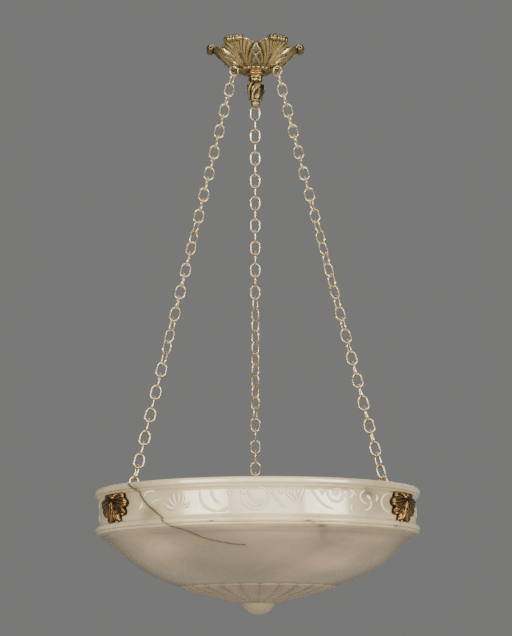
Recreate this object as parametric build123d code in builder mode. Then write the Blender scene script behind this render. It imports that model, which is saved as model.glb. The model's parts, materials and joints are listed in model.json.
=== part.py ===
from build123d import *
import os
from math import asin, atan2, cos, degrees, hypot, radians, sin, sqrt, tan

os.makedirs("parts", exist_ok=True)

# All sizes are in millimetres and angles in degrees. The origin is the centre of the
# hanging eye's hole, +Z is up and the front of the lamp faces -Y.

# Places round the lamp, as angles from +X
FRONT = -90
STATION_COUNT = 3
STATION_STEP = 360 / STATION_COUNT
STATIONS = [FRONT - STATION_STEP / 2 + STATION_STEP * i for i in range(STATION_COUNT)]
STATION_NAMES = ["left", "right", "back"]
LAMP_ANGLES = [FRONT + STATION_STEP * i for i in range(STATION_COUNT)]
LAMP_NAMES = ["front", "right", "left"]

# Fits between pieces
RUNNING_FIT = 0.06
FIXED_FIT = 0.03
THREAD_FIT = 0.05
BOLT_CLEARANCE = 0.5
FACE_GAP = 0.05
BODY_GAP = 0.3
WELD_DEPTH = 1.0

# Hanging eye, fork and pin
EYE_HOLE_R = 6.0
EYE_WALL = 4.5
EYE_THICK = 5.0
EYE_TO_PIN = 16.0
PIN_R = 2.0
PIN_HEAD_R = 3.4
PIN_HEAD_T = 1.4
TONGUE_THICK = 4.0
TONGUE_END_R = 4.3
FORK_EAR_T = 3.0
FORK_EAR_R = 4.8
FORK_BASE_AF = 14.0
FORK_BASE_H = 5.7
ROD_R = 4.0
ROD_GRIP_IN_FINIAL = 13.0

# Crown: floor, ears for the rings, and leaves
FLOOR_R = 30.0
FLOOR_T = 2.5
EAR_GRIP = 5.6
EAR_HALF_WIDTH = 6.5
RING_HOLE_R = 3.2
LEAF_COUNT = 6
LEAF_T = 3.0
LEAF_ROOT_R = 27.0
LEAF_CREST_R = 69.0
LEAF_CREST_RISE = 40.75
LEAF_SAG = 1.8
LEAF_CURL_R = 6.5
LEAF_CURL_TURN = 205.0
LEAF_HALF_WIDTH = 17.0
LEAF_CRESTS_WIDTH = 33.0
SIDE_LOBE_LENGTH = 18.0
SIDE_LOBE_WIDTH = 11.5
SIDE_LOBE_TILT = 62.0
# Side lobes of a leaf: distance out from the axis and across from the leaf's middle
SIDE_LOBES = [(43.0, 17.5), (56.0, 24.5)]

# Collar and finial under the crown
COLLAR_R = 15.9
COLLAR_H = 5.8
COLLAR_BULGE = 1.9
COLLAR_LAND = 0.95
FINIAL_H = 53.4
FINIAL_NECK_R = 11.2
FINIAL_BELLY_R = 15.2
FINIAL_BELLY_DROP = 16.0
FINIAL_WAIST_R = 7.6
FINIAL_WAIST_DROP = 41.6
FINIAL_TIP_R = 8.2

# Chains and their rings
LINK_COUNT = 39
LINK_PITCH = 18.5
LINK_WIDTH = 17.5
LINK_WIRE = 2.8
LINK_PLAY = 0.25
RING_OUTER_R = 9.0
RING_WIRE = 2.8
RING_CIRCLE_R = 40.6
HOOK_GAP = 0.75
# Slow twists of the hanging chains: pairs of a link's number and its turn. The turn
# changes evenly from one pair to the next, and fades out over the last links.
CHAIN_TWISTS = {
    "left": [(0, 5), (4, 20), (13, 18), (17, -58), (21, -55), (24, -30), (27, 18), (31, 28)],
    "right": [(0, -14), (7, -14), (9, -22), (14, 4), (17, 34), (19, 26), (22, 42), (27, 58)],
    "back": [(0, 0), (17, 0), (20, 45), (27, 45), (31, 0)],
}
TWIST_FADE = 5

# Alabaster bowl. Depths are measured down from the rim's top.
BOWL_RIM_R = 254.4
BAND_R = 247.7
INNER_R = 235.6
RIM_ROUND = 3.0
RIM_H = 14.0
RIM_COVE = 4.2
BAND_END = 52.0
TORUS_R = 254.0
TORUS_END = 70.0
STEP_R = 249.5
BODY_R = 233.4
BODY_START = 80.2
BODY_MID_R = 189.3
BODY_MID_DEPTH = 117.5
ROSETTE_R = 120.5
ROSETTE_DEPTH = 147.8
ROSETTE_LIP = 4.0
PETAL_COUNT = 24
PETAL_MID_R = 76.5
PETAL_MID_DEPTH = 164.0
PETAL_GROOVE_R = 2.4
PETAL_GROOVE_DEPTH = 1.5
KNOB_R = 27.4
KNOB_DEPTH = 174.6
BOWL_H = 192.2
BOWL_WALL = 13.0
FLOOR_WALL = 17.0

# Where each chain meets the bowl: bracket, bolt, pads and leaf
HOOK_DEPTH = 24.6
PAD_T = 1.5
PAD_R = 9.0
BRACKET_T = 3.0
BRACKET_WIDTH = 16.0
BRACKET_LUG_T = 3.5
SLOT_WIDTH = 7.0
SLOT_H = 6.4
LUG_WALL = 3.4
BOLT_R = 3.0
BOLT_BELOW_LUG = 7.0
BOLT_HEAD_AF = 10.0
BOLT_HEAD_H = 4.0
BOLT_IN_LEAF = 7.4
WASHER_R = 6.2
WASHER_T = 1.2
BRACKET_END = 10.0
APPLIQUE_T = 13.0
APPLIQUE_DOME_R = 59.0
APPLIQUE_RISE = 5.0
APPLIQUE_HOLE_DEPTH = 8.0
# Lobes of the leaf, on both sides: across, up, half length, half width and tilt
APPLIQUE_LOBES = [
    (0, 4, 17, 13, 0),
    (17, 9, 14, 8, 28),
    (20, -1, 14, 8, -12),
    (15, -9, 12, 7, -48),
    (8, -15, 12, 6, -68),
    (9, 13, 10, 7, 60),
]

# Lamp carrier inside the bowl
ARM_T = 2.5
ARM_WIDTH = 14.0
ARM_FOOT_BELOW_BOLT = 8.5
ARM_FOOT_TOP = 5.0
ARM_HUB_OVERLAP = 18.0
HUB_R = 32.0
HUB_WALL = 2.0
HUB_H = 28.0
COVER_T = 2.0
COVER_LIP = 3.0
SCREW_R = 2.0
SCREW_HEAD_R = 3.6
SCREW_HEAD_H = 2.2
SCREW_CIRCLE_R = 22.0
GLAND_R = 6.0
GLAND_BORE_R = 3.6
GLAND_H = 11.0
GLAND_NUT_H = 3.5
HOLDER_R = 14.0
HOLDER_WALL = 2.0
HOLDER_LENGTH = 36.0
HOLDER_BASE_T = 3.0
NIPPLE_R = 4.5
NIPPLE_BORE_R = 3.0
NIPPLE_LENGTH = 13.0
NUT_AF = 13.0
NUT_T = 3.0
CORE_LENGTH = 30.0
CAP_R = 7.0
CAP_LENGTH = 24.0
CONTACT_R = 3.0
CONTACT_T = 1.6
BULB_R = 22.5
BULB_NECK_R = 8.5
BULB_NECK_LENGTH = 9.0
GLASS_T = 1.0


def radial_plane(angle, radius, height):
    """Plane that faces outward at one place, with X round the lamp and Y up."""
    a = radians(angle)
    return Plane(
        origin=(radius * cos(a), radius * sin(a), height),
        x_dir=(-sin(a), cos(a), 0),
        z_dir=(cos(a), sin(a), 0),
    )


def section_plane(angle):
    """Upright plane through the lamp's axis, with X as the radius and Y as the height."""
    a = radians(angle)
    return Plane(origin=(0, 0, 0), x_dir=(cos(a), sin(a), 0), z_dir=(sin(a), -cos(a), 0))


def save(piece, name):
    piece.part.label = name
    export_step(piece.part, f"parts/{name}.step")


def circle_through(p, q, r):
    """Centre and radius of the circle through three points."""
    ax, ay = q[0] - p[0], q[1] - p[1]
    bx, by = r[0] - p[0], r[1] - p[1]
    d = 2 * (ax * by - ay * bx)
    ux = (by * (ax**2 + ay**2) - ay * (bx**2 + by**2)) / d
    uy = (ax * (bx**2 + by**2) - bx * (ax**2 + ay**2)) / d
    return p[0] + ux, p[1] + uy, hypot(ux, uy)


def cap_middle(edge_r, edge_z, pole_z):
    """Point half way along a round cap, from its edge down to its pole on the axis."""
    fall = edge_z - pole_z
    radius = (edge_r**2 + fall**2) / (2 * fall)
    half_turn = asin(edge_r / radius) / 2
    return radius * sin(half_turn), pole_z + radius * (1 - cos(half_turn))


# Heights at the crown
pin_z = -EYE_TO_PIN
fork_base_top = pin_z - FORK_EAR_R
fork_base_bottom = fork_base_top - FORK_BASE_H
floor_top = fork_base_bottom
floor_bottom = floor_top - FLOOR_T
collar_bottom = floor_bottom - COLLAR_H
finial_bottom = collar_bottom - FINIAL_H
fork_slot = TONGUE_THICK / 2 + BODY_GAP

# Hanging eye: an upright ring above a flat tongue that turns on the pin
with BuildPart() as hanging_eye:
    with BuildSketch(Plane.XZ):
        Circle(EYE_HOLE_R + EYE_WALL)
    extrude(amount=EYE_THICK / 2, both=True)
    with BuildSketch(Plane.YZ):
        with Locations((0, pin_z)):
            Circle(TONGUE_END_R)
        with Locations((0, (pin_z - EYE_HOLE_R - EYE_WALL / 2) / 2)):
            Rectangle(2 * TONGUE_END_R, -pin_z - EYE_HOLE_R - EYE_WALL / 2)
    extrude(amount=TONGUE_THICK / 2, both=True)
    with BuildSketch(Plane.YZ):
        with Locations((0, pin_z)):
            Circle(PIN_R + RUNNING_FIT)
    extrude(amount=EYE_THICK, both=True, mode=Mode.SUBTRACT)
    with BuildSketch(Plane.XZ):
        Circle(EYE_HOLE_R)
    extrude(amount=EYE_THICK, both=True, mode=Mode.SUBTRACT)
save(hanging_eye, "hanging_eye")

# Hanging fork: a hexagonal base with two ears for the pin
with BuildPart() as hanging_fork:
    with BuildSketch(Plane.XY.offset(fork_base_bottom)):
        RegularPolygon(FORK_BASE_AF / 2, 6, major_radius=False)
    extrude(amount=FORK_BASE_H)
    for side in (-1, 1):
        with BuildSketch(Plane.YZ.offset(side * fork_slot)):
            with Locations((0, pin_z)):
                Circle(FORK_EAR_R)
            with Locations((0, (pin_z + fork_base_top - WELD_DEPTH) / 2)):
                Rectangle(2 * FORK_EAR_R, FORK_EAR_R + WELD_DEPTH)
        extrude(amount=side * FORK_EAR_T)
    with BuildSketch(Plane.YZ):
        with Locations((0, pin_z)):
            Circle(PIN_R + FIXED_FIT)
    extrude(amount=FORK_BASE_AF, both=True, mode=Mode.SUBTRACT)
    with Locations((0, 0, fork_base_bottom)):
        Hole(ROD_R + THREAD_FIT, depth=2 * FORK_BASE_H)
save(hanging_fork, "hanging_fork")

# Fork pin with a riveted head at each end
pin_half = fork_slot + FORK_EAR_T
with BuildPart() as fork_pin:
    with BuildSketch(Plane.YZ):
        with Locations((0, pin_z)):
            Circle(PIN_R)
    extrude(amount=pin_half + PIN_HEAD_T / 2, both=True)
    for side in (-1, 1):
        with BuildSketch(Plane.YZ.offset(side * (pin_half + FACE_GAP))):
            with Locations((0, pin_z)):
                Circle(PIN_HEAD_R)
        extrude(amount=side * PIN_HEAD_T)
    chamfer(fork_pin.edges().group_by(Axis.X)[-1], PIN_HEAD_T / 3)
    chamfer(fork_pin.edges().group_by(Axis.X)[0], PIN_HEAD_T / 3)
save(fork_pin, "fork_pin")

# Threaded rod from the fork down into the finial
with BuildPart() as centre_rod:
    with BuildSketch(Plane.XY.offset(fork_base_top - FACE_GAP)):
        Circle(ROD_R)
    extrude(amount=-(fork_base_top - FACE_GAP - collar_bottom + ROD_GRIP_IN_FINIAL))
    chamfer(centre_rod.edges(), ROD_R / 8)
save(centre_rod, "centre_rod")

# Crown leaf: the revolved flare is cut to the outline of one leaf, seen from above
leaf_start = (LEAF_ROOT_R, (floor_top + floor_bottom) / 2)
leaf_crest = (LEAF_CREST_R, leaf_start[1] + LEAF_CREST_RISE)
leaf_chord = hypot(leaf_crest[0] - leaf_start[0], leaf_crest[1] - leaf_start[1])
leaf_away = (
    (leaf_crest[1] - leaf_start[1]) / leaf_chord,
    (leaf_start[0] - leaf_crest[0]) / leaf_chord,
)
leaf_middle = (
    (leaf_start[0] + leaf_crest[0]) / 2 + LEAF_SAG * leaf_away[0],
    (leaf_start[1] + leaf_crest[1]) / 2 + LEAF_SAG * leaf_away[1],
)
flare_x, flare_z, flare_radius = circle_through(leaf_start, leaf_middle, leaf_crest)


def off_flare(point, gap):
    """Point beside the flare's middle line: outward for a positive gap, inward for a negative one."""
    share = 1 + gap / flare_radius
    return flare_x + share * (point[0] - flare_x), flare_z + share * (point[1] - flare_z)


def flare_heading(point):
    return flare_z - point[1], point[0] - flare_x


curl_x, curl_z = off_flare(leaf_crest, LEAF_CURL_R)
curl_from = degrees(atan2(leaf_crest[1] - curl_z, leaf_crest[0] - curl_x))


def on_curl(radius, share):
    a = radians(curl_from - share * LEAF_CURL_TURN)
    return curl_x + radius * cos(a), curl_z + radius * sin(a)


leaf_tip_r = curl_x + LEAF_CURL_R + LEAF_T
shoulder_r = SIDE_LOBES[-1][0]
leaf_half_angle = radians(180 / LEAF_COUNT)
root_half = LEAF_ROOT_R * sin(leaf_half_angle)
seam_r = FACE_GAP / 2 / sin(leaf_half_angle)
wedge_half = (2 * leaf_tip_r - seam_r) * tan(leaf_half_angle)
with BuildPart() as leaf:
    with BuildSketch(Plane.XZ):
        with BuildLine():
            for side in (-1, 1):
                gap = side * LEAF_T / 2
                curl_r = LEAF_CURL_R - gap
                Spline(
                    off_flare(leaf_start, gap),
                    off_flare(leaf_middle, gap),
                    off_flare(leaf_crest, gap),
                    tangents=[flare_heading(leaf_start), flare_heading(leaf_crest)],
                )
                ThreePointArc(on_curl(curl_r, 0), on_curl(curl_r, 0.5), on_curl(curl_r, 1))
            Line(off_flare(leaf_start, -LEAF_T / 2), off_flare(leaf_start, LEAF_T / 2))
            Line(on_curl(LEAF_CURL_R - LEAF_T / 2, 1), on_curl(LEAF_CURL_R + LEAF_T / 2, 1))
        make_face()
    revolve(axis=Axis.Z)
    with BuildSketch(Plane.XY.offset(floor_bottom)):
        Polygon(
            (0, -root_half),
            (LEAF_ROOT_R, -root_half),
            (shoulder_r, -LEAF_HALF_WIDTH),
            (LEAF_CREST_R, -LEAF_HALF_WIDTH),
            (LEAF_CREST_R, LEAF_HALF_WIDTH),
            (shoulder_r, LEAF_HALF_WIDTH),
            (LEAF_ROOT_R, root_half),
            (0, root_half),
            align=None,
        )
        with Locations((LEAF_CREST_R, 0)):
            Ellipse(leaf_tip_r - LEAF_CREST_R, LEAF_CRESTS_WIDTH / 2)
        for side in (-1, 1):
            for out, across in SIDE_LOBES:
                tilt = (0, 0, side * SIDE_LOBE_TILT)
                with Locations(Location((out, side * across, 0), tilt)):
                    Ellipse(SIDE_LOBE_LENGTH / 2, SIDE_LOBE_WIDTH / 2)
        Polygon(
            (seam_r, 0),
            (2 * leaf_tip_r, -wedge_half),
            (2 * leaf_tip_r, wedge_half),
            align=None,
            mode=Mode.INTERSECT,
        )
    extrude(amount=3 * LEAF_CREST_RISE, mode=Mode.INTERSECT)


def floor_plan(gap):
    """Outline of the crown's floor and of its ears for the rings, grown by a gap."""
    Circle(FLOOR_R + gap)
    with PolarLocations(0, STATION_COUNT, start_angle=STATIONS[0]):
        with Locations((RING_CIRCLE_R / 2, 0)):
            Rectangle(RING_CIRCLE_R, 2 * (EAR_HALF_WIDTH + gap))
        with Locations((RING_CIRCLE_R + EAR_GRIP / 2 - EAR_HALF_WIDTH, 0)):
            Circle(EAR_HALF_WIDTH + gap)


# Floor of the crown, which the leaves stand on and the rings hang from
ear_hole_r = RING_CIRCLE_R - EAR_GRIP / 2 - RING_HOLE_R
with BuildPart() as crown_floor:
    with BuildSketch(Plane.XY.offset(floor_bottom)):
        floor_plan(0)
        Circle(ROD_R + BOLT_CLEARANCE / 2, mode=Mode.SUBTRACT)
        with PolarLocations(ear_hole_r, STATION_COUNT, start_angle=STATIONS[0]):
            Circle(RING_HOLE_R, mode=Mode.SUBTRACT)
    extrude(amount=FLOOR_T)
save(crown_floor, "crown_floor")

# The leaves, brazed on the floor and to each other, with room for the rings between them
for i in range(LEAF_COUNT):
    with BuildPart() as crown_leaf:
        with Locations(Location((0, 0, 0), (0, 0, 360 / LEAF_COUNT * i))):
            add(leaf.part)
        with BuildSketch(Plane.XY.offset(floor_bottom)):
            floor_plan(FACE_GAP)
        extrude(amount=FLOOR_T + FACE_GAP, mode=Mode.SUBTRACT)
        with BuildSketch(Plane.XY.offset(floor_bottom)):
            with PolarLocations(ear_hole_r, STATION_COUNT, start_angle=STATIONS[0]):
                Circle(RING_HOLE_R)
        extrude(amount=3 * LEAF_CREST_RISE, mode=Mode.SUBTRACT)
    save(crown_leaf, f"crown_leaf_{i + 1}")

# Turned collar between the crown and the finial
collar_land_r = COLLAR_R - COLLAR_BULGE
with BuildPart() as collar:
    with BuildSketch(Plane.XZ):
        with BuildLine():
            Polyline(
                (ROD_R + THREAD_FIT, collar_bottom),
                (FINIAL_NECK_R, collar_bottom),
                (collar_land_r, collar_bottom + COLLAR_LAND),
            )
            ThreePointArc(
                (collar_land_r, collar_bottom + COLLAR_LAND),
                (COLLAR_R, (collar_bottom + floor_bottom) / 2),
                (collar_land_r, floor_bottom - COLLAR_LAND),
            )
            Polyline(
                (collar_land_r, floor_bottom - COLLAR_LAND),
                (collar_land_r, floor_bottom),
                (ROD_R + THREAD_FIT, floor_bottom),
                (ROD_R + THREAD_FIT, collar_bottom),
            )
        make_face()
    revolve(axis=Axis.Z)
save(collar, "collar")

# Finial: a cast drop that screws on to the rod
belly_z = collar_bottom - FINIAL_BELLY_DROP
waist_z = collar_bottom - FINIAL_WAIST_DROP
tip_z = finial_bottom + FINIAL_TIP_R
with BuildPart() as finial:
    with BuildSketch(Plane.XZ):
        with BuildLine():
            Spline(
                (FINIAL_NECK_R, collar_bottom),
                (FINIAL_BELLY_R, belly_z),
                (FINIAL_WAIST_R, waist_z),
                (FINIAL_TIP_R, tip_z),
                tangents=[(-0.3, -1), (0.3, -1)],
            )
            ThreePointArc(
                (FINIAL_TIP_R, tip_z),
                cap_middle(FINIAL_TIP_R, tip_z, finial_bottom),
                (0, finial_bottom),
            )
            Polyline(
                (0, finial_bottom),
                (0, collar_bottom),
                (FINIAL_NECK_R, collar_bottom),
            )
        make_face()
    revolve(axis=Axis.Z)
    with Locations((0, 0, collar_bottom)):
        Hole(ROD_R + THREAD_FIT, depth=ROD_GRIP_IN_FINIAL + BOLT_CLEARANCE)
save(finial, "finial")

# Chain geometry: ring, links and the lean that joins the crown to the bowl
ring_inner_r = RING_OUTER_R - RING_WIRE
ring_z = floor_top + BODY_GAP - sqrt(ring_inner_r**2 - (EAR_GRIP / 2) ** 2)
link_inner = LINK_PITCH + LINK_PLAY
link_wire_r = LINK_WIRE / 2
first_link = ring_inner_r - LINK_PLAY + link_inner / 2
hook_reach = first_link + (LINK_COUNT - 1) * LINK_PITCH + link_inner / 2
bracket_back_r = INNER_R - FACE_GAP - PAD_T
bracket_face_r = bracket_back_r - FACE_GAP - BRACKET_T
hook_r = bracket_face_r - SLOT_WIDTH / 2
lean = asin((hook_r - RING_CIRCLE_R) / hook_reach)
hook_z = ring_z - hook_reach * cos(lean)


def link_place(angle, number, twist):
    """Place of one link: X runs down the chain and Z is square to the link's flat side."""
    reach = first_link + number * LINK_PITCH
    upright = section_plane(angle)
    centre = upright.from_local_coords(
        (RING_CIRCLE_R + reach * sin(lean), ring_z - reach * cos(lean), 0)
    )
    down = upright.x_dir * sin(lean) - upright.y_dir * cos(lean)
    flat = upright.x_dir * cos(lean) + upright.y_dir * sin(lean)
    turn = twist + (0 if number % 2 == 0 else 90)
    return Plane(origin=centre, x_dir=down, z_dir=flat.rotate(Axis((0, 0, 0), down), turn)).location


def twist_of(name, number):
    """Turn of one link about its chain's own line."""
    fade = min(1, (LINK_COUNT - 1 - number) / TWIST_FADE)
    table = CHAIN_TWISTS[name]
    for (near, start), (far, end) in zip(table, table[1:]):
        if number <= far:
            return fade * (start + (end - start) * (number - near) / (far - near))
    return fade * table[-1][1]


# One oval link, bent from round wire
link_straight = link_inner + 2 * LINK_WIRE - LINK_WIDTH
link_bend_r = LINK_WIDTH / 2 - link_wire_r
with BuildPart() as link:
    with BuildLine(Plane.XY) as link_path:
        Line((-link_straight / 2, link_bend_r), (link_straight / 2, link_bend_r))
        ThreePointArc(
            (link_straight / 2, link_bend_r),
            (link_straight / 2 + link_bend_r, 0),
            (link_straight / 2, -link_bend_r),
        )
        Line((link_straight / 2, -link_bend_r), (-link_straight / 2, -link_bend_r))
        ThreePointArc(
            (-link_straight / 2, -link_bend_r),
            (-link_straight / 2 - link_bend_r, 0),
            (-link_straight / 2, link_bend_r),
        )
    with BuildSketch(Plane(origin=(0, link_bend_r, 0), z_dir=(1, 0, 0))):
        Circle(link_wire_r)
    sweep(path=link_path.line)

for name, angle in zip(STATION_NAMES, STATIONS):
    upright = section_plane(angle)
    ring_centre = upright.from_local_coords((RING_CIRCLE_R, ring_z, 0))
    with BuildPart() as jump_ring:
        with Locations(Plane(origin=ring_centre, z_dir=upright.z_dir).location):
            Torus(RING_OUTER_R - RING_WIRE / 2, RING_WIRE / 2)
    save(jump_ring, f"jump_ring_{name}")

    with BuildPart() as chain:
        places = [link_place(angle, i, twist_of(name, i)) for i in range(LINK_COUNT)]
        with Locations(*places):
            add(link.part)
    save(chain, f"chain_{name}")

# Heights and radii where each chain meets the bowl
slot_top = hook_z + HOOK_GAP
slot_bottom = slot_top - SLOT_H
lug_top = slot_top + LUG_WALL
lug_bottom = slot_bottom - LUG_WALL
bolt_z = lug_bottom - BOLT_BELOW_LUG
bracket_bottom = bolt_z - BRACKET_END
foot_face_r = bracket_face_r - FACE_GAP - ARM_T
washer_face_r = foot_face_r - FACE_GAP - WASHER_T
leaf_back_r = BAND_R + FACE_GAP + PAD_T
bolt_head_r = washer_face_r - FACE_GAP
bolt_tip_r = leaf_back_r + BOLT_IN_LEAF

# Alabaster bowl: turned outside and inside, with petals carved round the knob and a
# bolt hole at each station
rim_top = hook_z + HOOK_DEPTH


def depth(value):
    return rim_top - value


body_x, body_z, body_radius = circle_through(
    (BODY_R, depth(BODY_START)),
    (BODY_MID_R, depth(BODY_MID_DEPTH)),
    (ROSETTE_R + ROSETTE_LIP, depth(ROSETTE_DEPTH)),
)
inner_radius = body_radius - BOWL_WALL


def inner_height(radius):
    return body_z - sqrt(inner_radius**2 - (radius - body_x) ** 2)


inner_foot_r = ROSETTE_R
inner_middle_r = (INNER_R + inner_foot_r) / 2
inner_floor = depth(KNOB_DEPTH) + FLOOR_WALL
lip_r = ROSETTE_R - ROSETTE_LIP / 2
lip_depth = ROSETTE_DEPTH + ROSETTE_LIP
with BuildPart() as alabaster_bowl:
    with BuildSketch(Plane.XZ):
        with BuildLine():
            Line((INNER_R + RIM_ROUND, depth(0)), (BOWL_RIM_R - RIM_ROUND, depth(0)))
            RadiusArc(
                (BOWL_RIM_R - RIM_ROUND, depth(0)),
                (BOWL_RIM_R, depth(RIM_ROUND)),
                RIM_ROUND,
            )
            Line((BOWL_RIM_R, depth(RIM_ROUND)), (BOWL_RIM_R, depth(RIM_H - RIM_ROUND)))
            Spline(
                (BOWL_RIM_R, depth(RIM_H - RIM_ROUND)),
                (BOWL_RIM_R - RIM_ROUND / 2, depth(RIM_H)),
                (BAND_R, depth(RIM_H + RIM_COVE)),
                tangents=[(0, -1), (0, -1)],
            )
            Line((BAND_R, depth(RIM_H + RIM_COVE)), (BAND_R, depth(BAND_END)))
            torus_half = (TORUS_END - BAND_END) / 2
            ThreePointArc(
                (BAND_R, depth(BAND_END)),
                (TORUS_R, depth(BAND_END + torus_half)),
                (BAND_R, depth(TORUS_END)),
            )
            Polyline(
                (BAND_R, depth(TORUS_END)),
                (STEP_R, depth(TORUS_END)),
                (STEP_R, depth(TORUS_END + (STEP_R - BAND_R))),
                (BODY_R, depth(BODY_START)),
            )
            ThreePointArc(
                (BODY_R, depth(BODY_START)),
                (BODY_MID_R, depth(BODY_MID_DEPTH)),
                (ROSETTE_R + ROSETTE_LIP, depth(ROSETTE_DEPTH)),
            )
            Spline(
                (ROSETTE_R + ROSETTE_LIP, depth(ROSETTE_DEPTH)),
                (ROSETTE_R, depth(ROSETTE_DEPTH)),
                (lip_r, depth(lip_depth)),
                tangents=[(-1, 0.5), (-1, -0.6)],
            )
            ThreePointArc(
                (lip_r, depth(lip_depth)),
                (PETAL_MID_R, depth(PETAL_MID_DEPTH)),
                (KNOB_R, depth(KNOB_DEPTH)),
            )
            ThreePointArc(
                (KNOB_R, depth(KNOB_DEPTH)),
                cap_middle(KNOB_R, depth(KNOB_DEPTH), depth(BOWL_H)),
                (0, depth(BOWL_H)),
            )
            Line((0, depth(BOWL_H)), (0, inner_floor))
            Spline(
                (0, inner_floor),
                (inner_foot_r, inner_height(inner_foot_r)),
                tangents=[(1, 0), (body_z - inner_height(inner_foot_r), inner_foot_r - body_x)],
            )
            ThreePointArc(
                (inner_foot_r, inner_height(inner_foot_r)),
                (inner_middle_r, inner_height(inner_middle_r)),
                (INNER_R, inner_height(INNER_R)),
            )
            Line((INNER_R, inner_height(INNER_R)), (INNER_R, depth(RIM_ROUND)))
            RadiusArc((INNER_R, depth(RIM_ROUND)), (INNER_R + RIM_ROUND, depth(0)), RIM_ROUND)
        make_face()
    revolve(axis=Axis.Z)
    for angle in STATIONS:
        with BuildSketch(radial_plane(angle, 2 * INNER_R - BAND_R, bolt_z)):
            Circle(BOLT_R + BOLT_CLEARANCE)
        extrude(amount=3 * (BAND_R - INNER_R), mode=Mode.SUBTRACT)
    for i in range(PETAL_COUNT):
        upright = section_plane(FRONT + 360 / PETAL_COUNT * i)
        lift = PETAL_GROOVE_R - PETAL_GROOVE_DEPTH
        with BuildLine(upright) as groove_path:
            ThreePointArc(
                (lip_r + ROSETTE_LIP, depth(lip_depth + lift - ROSETTE_LIP)),
                (PETAL_MID_R, depth(PETAL_MID_DEPTH + lift)),
                (KNOB_R, depth(KNOB_DEPTH + lift)),
            )
        with BuildSketch(Plane(origin=groove_path.line @ 0, z_dir=groove_path.line % 0)):
            Circle(PETAL_GROOVE_R)
        sweep(path=groove_path.line, mode=Mode.SUBTRACT)
save(alabaster_bowl, "alabaster_bowl")

# Bracket inside the wall: an upright strap with a lug whose slot takes the last link
with BuildPart() as wall_cylinder:
    with Locations((0, 0, bolt_z)):
        Cylinder(INNER_R - FACE_GAP, 4 * PAD_R)
with BuildPart() as band_sleeve:
    with Locations((0, 0, bolt_z)):
        Cylinder(leaf_back_r - FACE_GAP, 4 * PAD_R)
        Cylinder(BAND_R + FACE_GAP, 4 * PAD_R, mode=Mode.SUBTRACT)

for name, angle in zip(STATION_NAMES, STATIONS):
    with BuildPart() as chain_bracket:
        with BuildSketch(radial_plane(angle, bracket_face_r, 0)):
            with Locations((0, (lug_top + bracket_bottom) / 2)):
                RectangleRounded(BRACKET_WIDTH, lug_top - bracket_bottom, BRACKET_T)
        extrude(amount=BRACKET_T)
        with BuildSketch(section_plane(angle)):
            lug_middle = (lug_top + lug_bottom) / 2
            lug_reach = SLOT_WIDTH + LUG_WALL
            with Locations((bracket_face_r + (WELD_DEPTH - lug_reach) / 2, lug_middle)):
                RectangleRounded(lug_reach + WELD_DEPTH, lug_top - lug_bottom, WELD_DEPTH / 2)
            with Locations((hook_r, (slot_top + slot_bottom) / 2)):
                RectangleRounded(SLOT_WIDTH, SLOT_H, LINK_WIRE / 2, mode=Mode.SUBTRACT)
        extrude(amount=BRACKET_LUG_T / 2, both=True)
        with BuildSketch(radial_plane(angle, bracket_face_r, bolt_z)):
            Circle(BOLT_R + BOLT_CLEARANCE / 2)
        extrude(amount=BRACKET_T, mode=Mode.SUBTRACT)
    save(chain_bracket, f"chain_bracket_{name}")

with BuildPart() as inner_pads:
    for angle in STATIONS:
        with BuildSketch(radial_plane(angle, bracket_back_r, bolt_z)):
            Circle(PAD_R)
            Circle(BOLT_R + BOLT_CLEARANCE / 2, mode=Mode.SUBTRACT)
        extrude(amount=2 * PAD_T)
    add(wall_cylinder.part, mode=Mode.INTERSECT)
save(inner_pads, "inner_pads")

with BuildPart() as outer_pads:
    for angle in STATIONS:
        with BuildSketch(radial_plane(angle, BAND_R - PAD_T, bolt_z)):
            Circle(PAD_R)
            Circle(BOLT_R + BOLT_CLEARANCE / 2, mode=Mode.SUBTRACT)
        extrude(amount=4 * PAD_T)
    add(band_sleeve.part, mode=Mode.INTERSECT)
save(outer_pads, "outer_pads")

with BuildPart() as bolt_washers:
    for angle in STATIONS:
        with BuildSketch(radial_plane(angle, washer_face_r, bolt_z)):
            Circle(WASHER_R)
            Circle(BOLT_R + BOLT_CLEARANCE / 2, mode=Mode.SUBTRACT)
        extrude(amount=WASHER_T)
save(bolt_washers, "bolt_washers")

with BuildPart() as wall_bolts:
    for angle in STATIONS:
        with BuildSketch(radial_plane(angle, bolt_head_r, bolt_z)):
            RegularPolygon(BOLT_HEAD_AF / 2, 6, major_radius=False)
        extrude(amount=-BOLT_HEAD_H)
        with BuildSketch(radial_plane(angle, bolt_head_r - WELD_DEPTH, bolt_z)):
            Circle(BOLT_R)
        extrude(amount=bolt_tip_r - bolt_head_r + WELD_DEPTH)
save(wall_bolts, "wall_bolts")

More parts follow.
